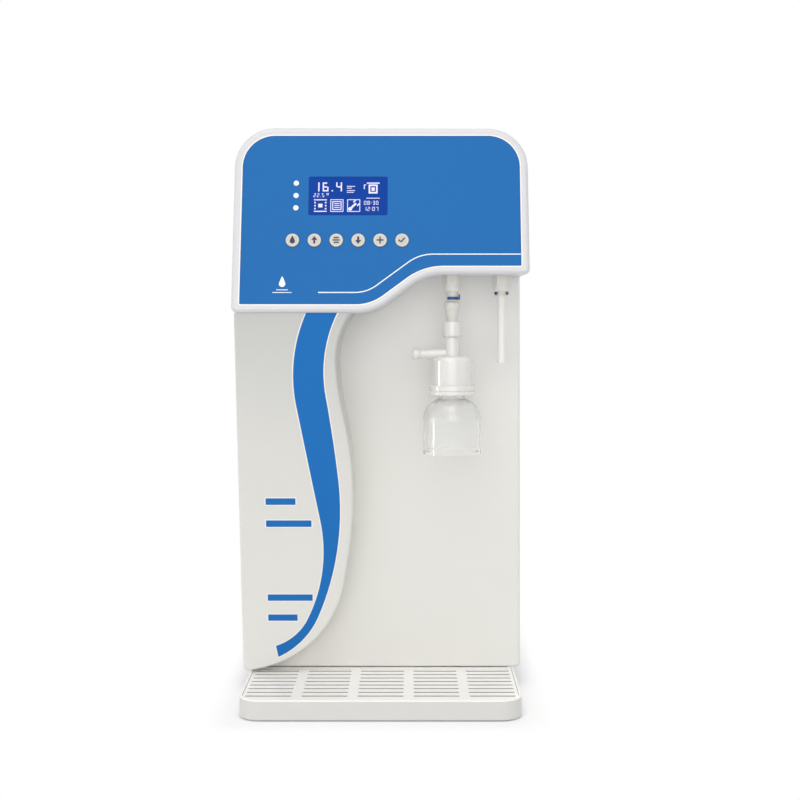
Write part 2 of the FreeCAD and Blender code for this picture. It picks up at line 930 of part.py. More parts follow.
def side_cover(side):
    # Built for the left, and mirrored for the right.
    outside = -half_body
    inside = outside + cover_wall
    top = roof_split - seam / 2
    lip = outside + front_wall
    flange_low = body_bottom + sheet
    pieces = [
        box(outside, inside, cover_y, rear_y, body_bottom, top),
        box(lip, lip + cover_wall, panel_y + front_wall + lap / 2, cover_y + lap,
            body_bottom + lap, top - lap),
        box(inside, lip + cover_wall, cover_y, cover_y + lap, body_bottom + lap, top - lap),
        box(inside, inside + lap, cover_y + lap, rear_in, flange_low, flange_low + cover_wall),
        box(inside, inside + lap, rear_in - cover_wall, rear_in, flange_low, top - lap),
    ]
    cutters = rear_screw_holes()
    for index in range(side_slots):
        z = roof_z - side_slots_drop - slot_pitch * index
        for step in (-1, 1):
            middle = panel_y + side_slots_y + step * (slot_length + lap) / 2
            cutters.append(box(outside - past, inside + past, middle - slot_length / 2,
                               middle + slot_length / 2, z, z + slot_height))
    cover = without(joined(pieces), cutters)
    if side > 0:
        cover = cover.mirror(V(0, 0, 0), V(1, 0, 0))
    return cover


def top_cover():
    low = roof_split - lap
    outer = prism(arch_face(0, low), cover_y, rear_y)
    inner = prism(arch_face(cover_wall, low - past), cover_y - past, rear_y + past)
    arch = outer.cut(inner).cut(box(-FAR, FAR, -FAR, FAR, 0, roof_split + seam / 2))
    pieces = [arch]
    for side in (-1, 1):
        x0, x1 = span(side, half_body - 2 * cover_wall, half_body - cover_wall)
        pieces.append(box(x0, x1, cover_y + 2 * lap, rear_y - 2 * lap, low, roof_split + lap / 2))
    return joined(pieces)


def panel_face(inset):
    half = half_body - inset
    low = body_bottom + inset
    top = roof_z - inset
    corners = [(-half, low, foot_corner - inset), (half, low, foot_corner - inset),
               (half, top, roof_corner - inset), (-half, top, roof_corner - inset)]
    return rounded_face(corners, on_xz)


def front_panel():
    back = panel_y + panel_return
    outer = prism(panel_face(0), panel_y, back)
    front_edges = edges_where(outer, lambda edge: abs(edge.BoundBox.YMax - panel_y) < touch)
    outer = outer.makeFillet(panel_edge, front_edges)
    inner = prism(panel_face(front_wall), panel_y + front_wall, back + past)
    window = box(-window_half, window_half, panel_y - past, panel_y + front_wall + past,
                 window_low, window_high)
    rim_notch = box(-pan_half - seam, pan_half + seam, pan_front - seam, back + past,
                    body_bottom - past, body_bottom + front_wall + past)
    return without(outer, [inner, window, rim_notch])


# --- wave column ---

def column_place(offset, share):
    return (-half_body + offset, column_foot + share * column_height)


def column_outline():
    start = (-half_body + wave_top, nose_z)
    edges = arc_chain(start, wave_heading, [column_place(*point) for point in wave_points])
    edges += runs([on_xz(-half_body, column_foot), on_xz(-half_body, nose_z), on_xz(*start)])
    return Part.Wire(edges)


def column_solid():
    solid = prism(Part.Face(column_outline()), nose_y - stock, panel_y)
    solid = solid.cut(ahead_of(column_y, -column_lean, 0))

    def is_low_corner(edge):
        bounds = edge.BoundBox
        at_corner = bounds.XMax < -half_body + touch and bounds.ZMax < column_foot + touch
        return at_corner and bounds.YLength > column_corner

    def is_front(edge):
        middle = middle_of(edge)
        return abs(middle.y - column_y(middle.z)) < touch and middle.z < nose_z - touch

    solid = solid.makeFillet(column_corner, edges_where(solid, is_low_corner))
    return solid.makeFillet(column_edge, edges_where(solid, is_front))


def swoosh_face():
    left_start = (-half_body + swoosh_left_top, nose_z)
    right_start = (-half_body + swoosh_right_top, nose_z)
    edges = arc_chain(left_start, swoosh_left_heading, [column_place(*point) for point in swoosh_left])
    edges += arc_chain(right_start, swoosh_right_heading, [column_place(*point) for point in swoosh_right])
    edges += runs([on_xz(*column_place(*swoosh_left[-1])), on_xz(*column_place(*swoosh_right[-1]))])
    edges += runs([on_xz(*right_start), on_xz(*left_start)])
    return Part.Face(Part.Wire(Part.sortEdges(edges)[0]))


def bar_faces():
    faces = []
    for length, share in bars:
        x0, z = column_place(bar_left, share)
        faces.append(upright_face(x0, x0 + length, z - bar_height / 2, z + bar_height / 2, bar_corner))
    return faces


def inlay(face, front):
    return between(face, column_y, -column_lean, front, inlay_depth)


def column_cover():
    inner = prism(Part.Face(column_outline().makeOffset2D(-front_wall)), nose_y - stock, panel_y + past)
    inner = inner.cut(ahead_of(column_y, -column_lean, front_wall))
    pockets = [inlay(face, -stock) for face in [swoosh_face()] + bar_faces()]
    return without(column_solid(), [inner] + pockets)


def column_swoosh():
    return inlay(swoosh_face(), -inlay_proud)


def column_bars():
    return Part.makeCompound([inlay(face, -inlay_proud) for face in bar_faces()])


# --- control head ---

def head_shell():
    outer = prism(head_face(0, head_corner, head_low_left, head_low_right), nose_y - stock, panel_y)
    outer = outer.cut(ahead_of(face_y, tilt, 0))

    def is_front(edge):
        middle = middle_of(edge)
        return abs(middle.y - face_y(middle.z)) < touch

    outer = outer.makeFillet(head_edge, edges_where(outer, is_front))
    inner = prism(head_face(front_wall, head_corner - front_wall, head_low_left - front_wall,
                            head_low_right - front_wall), nose_y - stock, panel_y + past)
    inner = inner.cut(ahead_of(face_y, tilt, front_wall))
    flange = head_face(front_wall / 2, head_corner - front_wall / 2, flange_corner, flange_corner)
    flange = flange.cut(head_face(head_flange, head_corner - head_flange, flange_corner, flange_corner))
    return joined([outer.cut(inner), prism(flange, panel_y - cover_wall, panel_y)])


def control_holes():
    back = front_wall + past
    holes = [face_rod(button_radius + button_gap, x, z, -stock, back) for x, z in button_places()]
    holes += [face_rod(light_radius + overlay_gap, x, z, -stock, back) for x, z in light_places()]
    holes.append(between(display_face(display_gap), face_y, tilt, -stock, back))
    return holes


def head_cowl():
    bosses = [face_rod(boss_radius, x, z, front_wall - root, board_depth) for x, z in boss_places()]
    cowl = joined([head_shell()] + bosses)
    recess = between(overlay_face(overlay_gap), face_y, tilt, -stock, overlay_sink + overlay_thickness)
    cutters = [recess] + control_holes()
    for x in (filter_x, tube_x):
        cutters.append(rod(outlet_shank + hole_clearance, V(x, outlet_y, notch_z - past),
                           V(x, outlet_y, notch_z + front_wall + past)))
    return without(cowl, cutters)


def control_overlay():
    back = overlay_sink + overlay_thickness
    return without(between(overlay_face(0), face_y, tilt, overlay_sink, back), control_holes())


def display_window():
    return between(display_face(0), face_y, tilt, overlay_sink, front_wall)


def display_module():
    return between(display_face(module_border), face_y, tilt, front_wall, front_wall + module_depth)


def status_light_pipes():
    pipes = []
    for x, z in light_places():
        stem = face_rod(light_radius, x, z, overlay_sink - light_proud, light_length)
        flange = face_rod(light_radius + light_flange, x, z, front_wall, front_wall + light_flange)
        pipes.append(joined([stem, flange]))
    return Part.makeCompound(pipes)


def panel_button(index):
    x, z = button_places()[index]
    front = face_point(x, z, overlay_sink - button_proud)
    cap = rod(button_radius, front, face_point(x, z, front_wall + root))
    rim = edges_where(cap, lambda edge: (edge.CenterOfMass - front).Length < touch)
    cap = cap.makeFillet(button_round, rim)
    start = front_wall + button_play
    flange = face_rod(button_radius + button_flange, x, z, start, start + button_flange)
    stem = face_rod(button_radius / 2, x, z, start, start + button_stem)
    return joined([cap, flange, stem])


def control_board():
    face = upright_face(board_x - board_half_width, board_x + board_half_width, board_low, board_high,
                        board_corner)
    back = board_depth + board_thickness
    pieces = [between(face, face_y, tilt, board_depth, back)]
    switch_front = front_wall + button_play + button_stem + button_travel + switch_gap
    for x, z in button_places():
        pieces.append(face_rod(switch_half, x, z, switch_front, board_depth + root))
    for offset in plug_offsets:
        pieces.append(face_rod(plug_radius, board_x + offset, board_low + plug_rise, back - root,
                               back + plug_length))
    return joined(pieces)


# --- drip tray ---

def tray_block(inset, z0, z1):
    rear_corner = max(tray_rear_corner - inset, tray_least_corner)
    return rounded_slab(-half_tray + inset, half_tray - inset, front_y + inset, tray_back - inset,
                        z0, z1, tray_corner - inset, rear_corner)


def drip_tray():
    block = tray_block(0, tray_bottom, tray_top)
    rim = edges_where(block, lambda edge: abs(edge.BoundBox.ZMin - tray_top) < touch)
    block = block.makeFillet(tray_edge, rim)
    cutters = [
        tray_block(tray_wall + grille_ledge, tray_floor + tray_floor_thickness, tray_top),
        tray_block(tray_wall, grille_low, tray_top + past),
        tray_block(tray_wall, tray_bottom - past, tray_floor),
    ]
    for side in (-1, 1):
        x0 = side * tongue_x - tongue_half - tongue_gap
        x1 = side * tongue_x + tongue_half + tongue_gap
        cutters.append(box(x0, x1, tray_back - tray_wall - past, tray_back + past, tray_bottom - past,
                           tongue_low + sheet + tongue_gap))
    return without(block, cutters)


def grille_slot_solid(x, y):
    corner = grille_slot / 2 - touch
    return rounded_slab(x - group_slot / 2, x + group_slot / 2, y - grille_slot / 2, y + grille_slot / 2,
                        grille_low - past, grille_top + past, corner, corner)


def drip_grille():
    plate = tray_block(tray_wall + grille_gap, grille_low, grille_top)
    slots = []
    for group in range(slot_groups):
        x = (group - (slot_groups - 1) / 2) * group_pitch
        for row in range(slot_rows):
            slots.append(grille_slot_solid(x, panel_y - row_first - row * row_pitch))
    return plate.cut(Part.makeCompound(slots))


def tray_feet():
    pads = []
    for x in (-half_tray + tray_corner, half_tray - tray_corner):
        for y in (front_y + tray_corner, tray_back - tray_corner):
            pads.append(rod(pad_radius, V(x, y, 0), V(x, y, tray_floor)))
    return Part.makeCompound(pads)


# --- outlets ---

def outlet_rod(radius, x, z0, z1):
    return rod(radius, V(x, outlet_y, z0), V(x, outlet_y, z1))


def outlet_fitting(x, rings):
    profile = [(0, hex_low), (outlet_body_radius, hex_low), (outlet_body_radius, hex_low - outlet_straight),
               (outlet_mid_radius, taper_low)]
    for index in range(rings):
        z = taper_low - ring_pitch * index
        profile += [(ring_radius - ring_groove, z), (ring_radius - ring_groove, z - ring_groove_height),
                    (ring_radius, z - ring_groove_height), (ring_radius, z - ring_pitch)]
    low = taper_low - ring_pitch * rings
    body = turned(profile + [(0, low)], x, outlet_y)
    nut = hexagon(outlet_hex, x, outlet_y, hex_low, notch_z, first_angle=0)
    fitting = joined([nut, body, outlet_rod(outlet_shank, x, notch_z, shank_top)])
    cutters = [
        outlet_rod(collet_outer + fit, x, low - past, low + collet_sleeve),
        outlet_rod(pipe_radius + fit, x, low - past, low + seat_rise),
        outlet_rod(line_bore, x, low + seat_rise - past, shank_top + past),
    ]
    return without(fitting, cutters)


def outlet_locknuts():
    nuts = []
    low = notch_z + front_wall
    high = low + locknut_height
    for x in (filter_x, tube_x):
        nut = hexagon(locknut_corner, x, outlet_y, low, high)
        nuts.append(nut.cut(outlet_rod(outlet_shank, x, low - past, high + past)))
    return Part.makeCompound(nuts)


def outlet_collets():
    collets = []
    for x, outlet_low in outlets:
        low = outlet_low - collet_drop
        high = outlet_low + collet_sleeve
        flange = outlet_rod(ring_radius, x, low, low + collet_flange)
        sleeve = outlet_rod(collet_outer, x, low, high - fit)
        bore = outlet_rod(pipe_radius + fit, x, low - past, high)
        collets.append(joined([flange, sleeve]).cut(bore))
    return Part.makeCompound(collets)


def collet_clip(x, outlet_low, tab_length, turn):
    # A horseshoe that is pulled off by its tab. The tab is on the right before the turn.
    low = outlet_low - (collet_gap + clip_thickness) / 2
    high = low + clip_thickness
    hold = collet_outer + 3 * fit
    ring = pipe(clip_outer, hold, V(x, outlet_y, low), V(x, outlet_y, high))
    mouth = box(x - clip_outer - past, x, outlet_y - hold, outlet_y + hold, low - past, high + past)
    front = outlet_y - clip_tab_half
    back = outlet_y + clip_tab_half
    end = x + clip_outer + tab_length
    tab = box(x + clip_outer - clip_tab_root, end, front, back, low, high)
    grip = box(end - clip_grip, end, front, back, low, high + clip_lift)
    clip = joined([ring.cut(mouth), tab, grip])
    clip.rotate(V(x, outlet_y, 0), V(0, 0, 1), turn)
    return clip


def dispensing_tube():
    return pipe(pipe_radius, pipe_bore, V(tube_x, outlet_y, tube_end), V(tube_x, outlet_y, tube_top))


def filter_stem():
    pipe_top = filter_outlet_low + pipe_rise
    profile = [
        (pipe_bore, pipe_top), (pipe_radius, pipe_top), (pipe_radius, bulge_top),
        (stem_bulge - stem_bulge_chamfer, bulge_top), (stem_bulge, bulge_top - stem_bulge_chamfer),
        (stem_bulge, rib_top + stem_bulge_chamfer), (stem_rib, rib_top),
    ]
    pitch = stem_rib_height / stem_rib_count
    for index in range(stem_rib_count):
        z = rib_top - pitch * index
        rib = stem_rib - stem_rib_step * index
        groove = rib - stem_rib_groove
        rib_low = z - pitch * stem_rib_share
        profile += [(rib, rib_low), (groove, rib_low), (groove, z - pitch)]
    seat = capsule_top + stem_seat_gap
    profile += [(stem_neck, neck_top), (stem_neck, seat), (pipe_bore, seat)]
    return turned(profile, filter_x, outlet_y)


def filter_nut():
    profile = [(0, nut_top), (nut_radius - nut_top_chamfer, nut_top),
               (nut_radius, nut_top - nut_top_chamfer), (nut_radius, nut_low + nut_chamfer),
               (nut_radius - nut_chamfer, nut_low), (0, nut_low)]
    nut = turned(profile, filter_x, outlet_y)
    cutters = [
        outlet_rod(stem_neck + thread_gap, filter_x, nut_low, nut_top + past),
        outlet_rod(capsule_neck + thread_gap, filter_x, nut_low - past, capsule_top + neck_gap),
    ]
    return without(nut, cutters)


def capsule_profile():
    groove = flange_low + flange_groove_rise
    profile = [
        (pipe_bore, capsule_top), (capsule_neck, capsule_top), (capsule_neck, dome_top),
        (crown_radius, dome_top - crown_drop), (shoulder_radius, dome_top - shoulder_drop),
        (capsule_radius, dome_top - capsule_dome), (capsule_radius - capsule_draft, body_low),
        (flange_radius - flange_chamfer, body_low), (flange_radius, body_low - flange_chamfer),
        (flange_radius, groove + flange_groove_half), (flange_radius - flange_groove, groove),
        (flange_radius, groove - flange_groove_half), (flange_radius, flange_low + flange_chamfer),
        (flange_radius - flange_chamfer, flange_low), (boss_neck, flange_low), (boss_neck, boss_low),
        (nozzle_radius + nozzle_root, boss_low),
    ]
    pitch = (boss_low - nozzle_tip) / (barb_count + 1)
    for index in range(barb_count):
        z = boss_low - pitch * (index + barb_share)
        profile += [(nozzle_radius, z), (nozzle_radius + barb_rise, z - barb_lip),
                    (nozzle_radius, z - pitch * barb_share)]
    bore = nozzle_radius - nozzle_wall
    profile += [(nozzle_radius, nozzle_tip), (bore, nozzle_tip), (bore, boss_low), (pipe_bore, boss_low)]
    return profile


def filter_capsule():
    body = turned(capsule_profile(), filter_x, outlet_y)
    neck_side = filter_x - capsule_neck
    start = V(neck_side + vent_root, outlet_y, vent_z)
    collar = rod(vent_collar, start, V(neck_side - vent_collar_length, outlet_y, vent_z))
    stub = rod(vent_radius, start, V(filter_x - vent_reach, outlet_y, vent_z))
    return joined([body, collar, stub])


def filter_vent_cap():
    mouth = V(filter_x - vent_reach - fit, outlet_y, vent_z)
    waist = mouth - V(vent_cap_taper, 0, 0)
    end = mouth - V(vent_cap_length, 0, 0)
    cap = joined([taper(vent_cap_mouth, vent_cap_radius, mouth, waist), rod(vent_cap_radius, waist, end)])
    return cap.makeFillet(vent_cap_round, edges_where(cap, lambda edge: edge.BoundBox.XMax < end.x + touch))


def bell_shoulder_arc(inward):
    # The shoulder meets the bell's side smoothly, and both skins share one centre.
    across = bell_radius - bell_neck
    radius = (across ** 2 + bell_shoulder ** 2) / (2 * across)
    centre = bell_radius - radius
    skin = radius - inward
    start_x = bell_neck - inward
    rise = math.sqrt(skin ** 2 - (start_x - centre) ** 2)
    angle = math.atan2(rise, start_x - centre) / 2
    start = V(start_x, 0, bell_side_top + rise)
    middle = V(centre + skin * math.cos(angle), 0, bell_side_top + skin * math.sin(angle))
    end = V(centre + skin, 0, bell_side_top)
    return start, Part.Arc(start, middle, end).toShape(), end


def filter_bell():
    start, shoulder, side_top = bell_shoulder_arc(0)
    in_start, in_shoulder, in_side_top = bell_shoulder_arc(bell_wall)
    hub = boss_neck + bell_fit
    bead = bell_radius + bell_bead
    bead_top = bell_low + bell_bead_height
    edges = runs([V(hub, 0, bell_top), V(bell_neck, 0, bell_top), start])
    edges.append(shoulder)
    edges += runs([side_top, V(bell_radius, 0, bead_top + bell_bead), V(bead, 0, bead_top),
                   V(bead, 0, bell_low), V(bell_radius - bell_wall, 0, bell_low), in_side_top])
    edges.append(in_shoulder)
    edges += runs([in_start, V(in_start.x, 0, boss_low), V(hub, 0, boss_low), V(hub, 0, bell_top)])
    bell = Part.Face(Part.Wire(Part.sortEdges(edges)[0])).revolve(V(0, 0, 0), V(0, 0, 1), 360)
    bell.translate(V(filter_x, outlet_y, 0))
    return bell


# --- inside the cabinet ---

def cartridge(y):
    body = rod(cartridge_radius, V(cartridge_x, y, cartridge_bottom), V(cartridge_x, y, cartridge_top))
    body = body.makeFillet(cartridge_round, edges_where(body, lambda edge: edge.BoundBox.ZLength < touch))
    neck = rod(cartridge_neck, V(cartridge_x, y, cartridge_top - root),
               V(cartridge_x, y, cartridge_top + cartridge_neck_height))
    return joined([body, neck])


def pretreatment_cartridge():
    return cartridge(cartridge_ys[-1])


def polishing_cartridges():
    return Part.makeCompound([cartridge(y) for y in cartridge_ys[:-1]])


def cartridge_heads():
    heads = []
    for y in cartridge_ys:
        block = rounded_slab(cartridge_x - cartridge_head, cartridge_x + cartridge_head, y - cartridge_head,
                             y + cartridge_head, head_low, head_top, cartridge_head_corner,
                             cartridge_head_corner)
        arm = box(partition_right, cartridge_x, y - bracket_half, y + bracket_half,
                  head_top - bracket, head_top)
        socket = rod(cartridge_neck + thread_gap, V(cartridge_x, y, head_low - past),
                     V(cartridge_x, y, cartridge_top + cartridge_neck_height + neck_gap))
        heads.append(joined([block, arm]).cut(socket))
    return Part.makeCompound(heads)


def vessel(x, radius, cap_radius, length, cap_height):
    top = ro_bottom + length
    cap_top = top + cap_height
    profile = [(0, ro_bottom), (radius - vessel_round, ro_bottom), (radius, ro_bottom + vessel_round),
               (radius, top), (cap_radius, top), (cap_radius, cap_top - vessel_cap_round),
               (cap_radius - vessel_cap_round, cap_top), (0, cap_top)]
    return turned(profile, x, vessel_y)


def ro_membrane_housing():
    return vessel(ro_x, ro_radius, ro_cap_radius, ro_length, ro_cap_height)


def uv_lamp_housing():
    return vessel(uv_x, uv_radius, uv_cap_radius, uv_length, uv_cap_height)


def vessel_clip(x, radius, z):
    top = z + clip_height
    ring = pipe(radius + clip_wall, radius + clip_gap, V(x, vessel_y, z), V(x, vessel_y, top))
    mouth_half = radius * clip_mouth
    mouth = box(x - mouth_half, x + mouth_half, vessel_y - radius - clip_wall - past, vessel_y,
                z - past, top + past)
    foot = box(x - clip_foot_half, x + clip_foot_half, vessel_y + radius + past, rear_in, z, top)
    return joined([ring.cut(mouth), foot])


def holder_clips():
    clips = []
    for share in clip_shares:
        clips.append(vessel_clip(ro_x, ro_radius, ro_bottom + ro_length * share))
        clips.append(vessel_clip(uv_x, uv_radius, ro_bottom + uv_length * share))
    return Part.makeCompound(clips)


def pump_rod(radius, y0, y1, up=0.0):
    # Along the pump's axis, from distances behind the motor's front.
    return rod(radius, V(pump_x, motor_y + y0, pump_z + up), V(pump_x, motor_y + y1, pump_z + up))


def pump_box(half, y0, y1, z0, z1):
    return box(pump_x - half, pump_x + half, y0, y1, z0, z1)


def pump_motor_can():
    can = pump_rod(motor_radius, 0, motor_length)
    hollow = pump_rod(motor_radius - motor_wall, motor_end, motor_length - motor_end)
    bore = pump_rod(shaft_radius + fit, -past, motor_length - shaft_blind)
    return without(can, [hollow, bore])


def pump_rotor():
    cam_back = -pump_bearing - cam_gap
    cam_front = cam_back - cam_length
    armature_end = armature_start + armature_length
    commutator_start = armature_end + commutator_gap
    return joined([
        pump_rod(shaft_radius, cam_front - shaft_stub, motor_length - shaft_blind - shaft_end_gap),
        pump_rod(armature_radius, armature_start, armature_end),
        pump_rod(commutator_radius, commutator_start, commutator_start + commutator_length),
        pump_rod(cam_radius, cam_front, cam_back, cam_offset),
    ])


def pump_head():
    face = upright_face(pump_x - pump_half, pump_x + pump_half, pump_z - pump_half, pump_z + pump_half,
                        pump_corner)
    block = prism(face, pump_front, motor_y)
    chamber = pump_rod(pump_chamber, -pump_bearing - chamber_length, -pump_bearing)
    bore = pump_rod(shaft_radius + fit, -pump_bearing - past, past)
    return without(block, [chamber, bore])


def pump_cradle():
    y0 = motor_y + cradle_inset
    y1 = motor_y + motor_length - cradle_inset
    plate_top = pan_floor + cradle_plate
    cradle = joined([
        pump_box(motor_radius, y0, y1, pan_floor, plate_top),
        pump_box(saddle_half, y0 + saddle_inset, y1 - saddle_inset, pan_floor, pump_z - saddle_drop),
        pump_box(pump_half - pump_foot_inset, pump_front + pump_foot_inset, motor_y - pump_foot_inset,
                 pan_floor, pump_z - pump_half),
        pump_box(bridge_half, motor_y - pump_foot_inset - root, y0 + bridge_lap, pan_floor, plate_top),
    ])
    return cradle.cut(pump_rod(motor_radius + cradle_gap, -past, motor_length + past))


def power_supply():
    y1 = supply_y + supply_length
    case = box(supply_x, partition_left, supply_y, y1, supply_bottom, supply_bottom + supply_height)
    slots = []
    for index in range(supply_slots):
        z = supply_bottom + supply_slot_first + supply_slot_pitch * index
        slots.append(box(supply_x - past, supply_x + supply_slot_depth, supply_y + supply_slot_inset,
                         y1 - supply_slot_inset, z, z + supply_slot_height))
    return without(case, slots)


def solenoid_valves():
    valves = []
    top = valve_z + valve_height
    coil_top = top + valve_coil_height
    for y in valve_ys:
        body = rounded_slab(valve_x - valve_half, partition_left, y - valve_half, y + valve_half,
                            valve_z, top, valve_corner, valve_corner)
        coil = rod(valve_coil, V(valve_x, y, top), V(valve_x, y, coil_top))
        nut = hexagon(valve_nut, valve_x, y, coil_top, coil_top + valve_nut_height)
        valves.append(joined([body, coil, nut]))
    return Part.makeCompound(valves)


def conductivity_cell():
    y = (cartridge_ys[0] + outlet_y) / 2
    cell = pipe(cell_radius, line_radius + fit, V(filter_x, y, cell_z), V(filter_x, y + cell_length, cell_z))
    middle = V(filter_x, y + cell_length / 2, cell_z + cell_radius)
    probe = rod(probe_radius, middle - V(0, 0, probe_root), middle + V(0, 0, probe_height))
    return joined([cell, probe])


def cartridge_lines():
    left = cartridge_x - cartridge_head
    gap_x = port_xs[0]
    feed_y = cartridge_ys[-1] + cartridge_port_side
    lines = [line([V(gap_x, line_start, port_z), V(gap_x, feed_y, port_z),
                   V(gap_x, feed_y, head_port_z), V(left, feed_y, head_port_z)], line_tight_bend)]
    for here, there in zip(cartridge_ys[:0:-1], cartridge_ys[-2::-1]):
        y0 = here - cartridge_port_side
        y1 = there + cartridge_port_side
        lines.append(line([V(left, y0, head_port_z), V(gap_x, y0, head_port_z),
                           V(gap_x, y1, head_port_z), V(left, y1, head_port_z)], line_tight_bend))
    return lines


def outlet_lines():
    left = cartridge_x - cartridge_head
    gap_x = port_xs[0]
    y0 = cartridge_ys[0] - cartridge_port_side
    high = cell_z + cell_radius + probe_height + line_gap + line_radius
    ro_top = ro_bottom + ro_length + ro_cap_height
    line_x = half_body - line_side
    turn_y = (panel_y + outlet_y) / 2
    polished = [V(left, y0, head_port_z), V(gap_x, y0, head_port_z), V(gap_x, y0, cell_z),
                V(filter_x, y0, cell_z), V(filter_x, outlet_y, cell_z), V(filter_x, outlet_y, shank_top)]
    plain = [V(ro_x, vessel_y, ro_top), V(ro_x, vessel_y, high), V(line_x, vessel_y, high),
             V(line_x, turn_y, high), V(tube_x, outlet_y, high), V(tube_x, outlet_y, shank_top)]
    return [line(polished, line_tight_bend), line(plain)]


def pump_lines():
    pump_top = pump_z + pump_half
    pump_middle = motor_y - pump_length / 2
    feed_z = ro_bottom + ro_length + ro_cap_height / 2
    valve_y = valve_ys[1]
    loop_z = valve_z - valve_loop
    to_membrane = [V(ro_x, pump_middle, pump_top), V(ro_x, pump_middle, feed_z),
                   V(ro_x, vessel_y - ro_cap_radius, feed_z)]
    to_valve = [V(pump_x, valve_y, pump_top), V(pump_x, valve_y, loop_z),
                V(valve_x, valve_y, loop_z), V(valve_x, valve_y, valve_z)]
    return [line(to_membrane), line(to_valve)]


def port_lines():
    lines = []
    for x, y in zip(port_xs[1:], reversed(crossing_ys)):
        lines.append(line([V(x, line_start, port_z), V(x, y, port_z), V(valve_x, y, port_z),
                           V(valve_x, y, valve_z)]))
    return lines


def internal_tubing():
    return Part.makeCompound(cartridge_lines() + outlet_lines() + pump_lines() + port_lines())


# --- rear ports, inlet and switch ---

def port_rod(radius, x, y0, y1):
    return rod(radius, V(x, y0, port_z), V(x, y1, port_z))


def rear_port(x):
    port = joined([
        port_rod(port_radius, x, rear_y, port_out),
        hexagon_y(port_hex, x, port_z, rear_y, rear_y + port_hex_height),
        port_rod(port_shank, x, line_start, rear_y),
        hexagon_y(port_nut, x, port_z, rear_in - port_nut_height, rear_in),
    ])
    cutters = [
        port_rod(port_collet_outer + fit, x, port_pocket, port_out + past),
        port_rod(port_seat, x, port_seat_end, port_pocket + past),
        port_rod(port_bore, x, line_start - past, port_seat_end + past),
    ]
    return without(port, cutters)


def rear_ports():
    return Part.makeCompound([rear_port(x) for x in port_xs])


def port_collet(x):
    end = rear_y + port_reach
    flange_front = end - port_collet_thickness
    sleeve_front = flange_front - port_collet_depth
    collet = joined([port_rod(port_collet_flange, x, flange_front, end),
                     port_rod(port_collet_outer, x, sleeve_front, end)])
    return collet.cut(port_rod(port_seat + port_collet_gap, x, sleeve_front - past, end + past))


def socket_face():
    left = inlet_x - socket_half_width
    right = inlet_x + socket_half_width
    low = socket_z - socket_half_height
    high = socket_z + socket_half_height
    corners = [(left, low), (right, low), (right, high - socket_chamfer), (right - socket_chamfer, high),
               (left + socket_chamfer, high), (left, high - socket_chamfer)]
    return rounded_face([(x, z, socket_corner) for x, z in corners], on_xz)


def pin_blades(y0, y1):
    low = socket_z - pin_drop
    places = [(inlet_x - pin_spacing, low), (inlet_x + pin_spacing, low), (inlet_x, socket_z + pin_rise)]
    return [box(x - pin_thickness, x + pin_thickness, y0, y1, z - pin_half, z + pin_half) for x, z in places]


def rocker_axle_rod(radius, half_length):
    return rod(radius, V(inlet_x - half_length, rocker_pivot_y, rocker_z),
               V(inlet_x + half_length, rocker_pivot_y, rocker_z))


def power_inlet():
    body_front = rear_y - inlet_inside
    flange = upright_face(inlet_x - inlet_flange_half_width, inlet_x + inlet_flange_half_width,
                          inlet_z - inlet_flange_half_height, inlet_z + inlet_flange_half_height,
                          inlet_corner)
    body = box(inlet_x - inlet_half_width, inlet_x + inlet_half_width, body_front, rear_y,
               inlet_z - inlet_half_height, inlet_z + inlet_half_height)
    inlet = joined([prism(flange, rear_y, inlet_front), body])
    well_half = rocker_half_width + rocker_gap
    well_height = rocker_half_height + rocker_end_gap
    cutters = [
        prism(socket_face(), inlet_front - socket_depth, inlet_front + past),
        box(inlet_x - well_half, inlet_x + well_half, inlet_front - rocker_well, inlet_front + past,
            rocker_z - well_height, rocker_z + well_height),
        rocker_axle_rod(rocker_pivot + fit, well_half + rocker_axle + hole_clearance),
    ]
    return without(inlet, cutters + pin_blades(body_front - past, inlet_front - socket_depth + past))


def inlet_pins():
    front = rear_y - inlet_inside - pin_tail
    return Part.makeCompound(pin_blades(front, inlet_front - socket_depth + pin_length))


def power_rocker():
    half_height = rocker_half_height - rocker_gap
    left = inlet_x - rocker_half_width
    back = rocker_pivot_y - rocker_back
    outline = [
        (back, -half_height), (inlet_front + rocker_crest, -half_height), (inlet_front - rocker_hollow, 0),
        (inlet_front + rocker_crest, half_height), (back, half_height), (back - rocker_keel, 0),
    ]
    points = [V(left, y, rocker_z + up) for y, up in outline]
    body = Part.Face(Part.makePolygon(points + [points[0]])).extrude(V(2 * rocker_half_width, 0, 0))
    axle = rocker_axle_rod(rocker_pivot, rocker_half_width + rocker_gap + rocker_axle)
    rocker = joined([body, axle])
    rocker.rotate(V(inlet_x, rocker_pivot_y, rocker_z), V(1, 0, 0), -rocker_throw / 2)
    return rocker


def case_screws():
    screws = []
    head_back = rear_y + screw_head_height
    low = head_back - cross_depth
    high = head_back + past
    thin = cross_width / 2
    for x, z in rear_screw_places():
        shank = rod(screw_radius, V(x, rear_y - screw_length, z), V(x, rear_y, z))
        head = rod(screw_head_radius, V(x, rear_y, z), V(x, head_back, z))
        rim = edges_where(head, lambda edge: edge.BoundBox.YMin > head_back - touch)
        head = head.makeFillet(screw_head_round, rim)
        cross = [box(x - cross_half, x + cross_half, low, high, z - thin, z + thin),
                 box(x - thin, x + thin, low, high, z - cross_half, z + cross_half)]
        screws.append(without(joined([shank, head]), cross))
    return Part.makeCompound(screws)


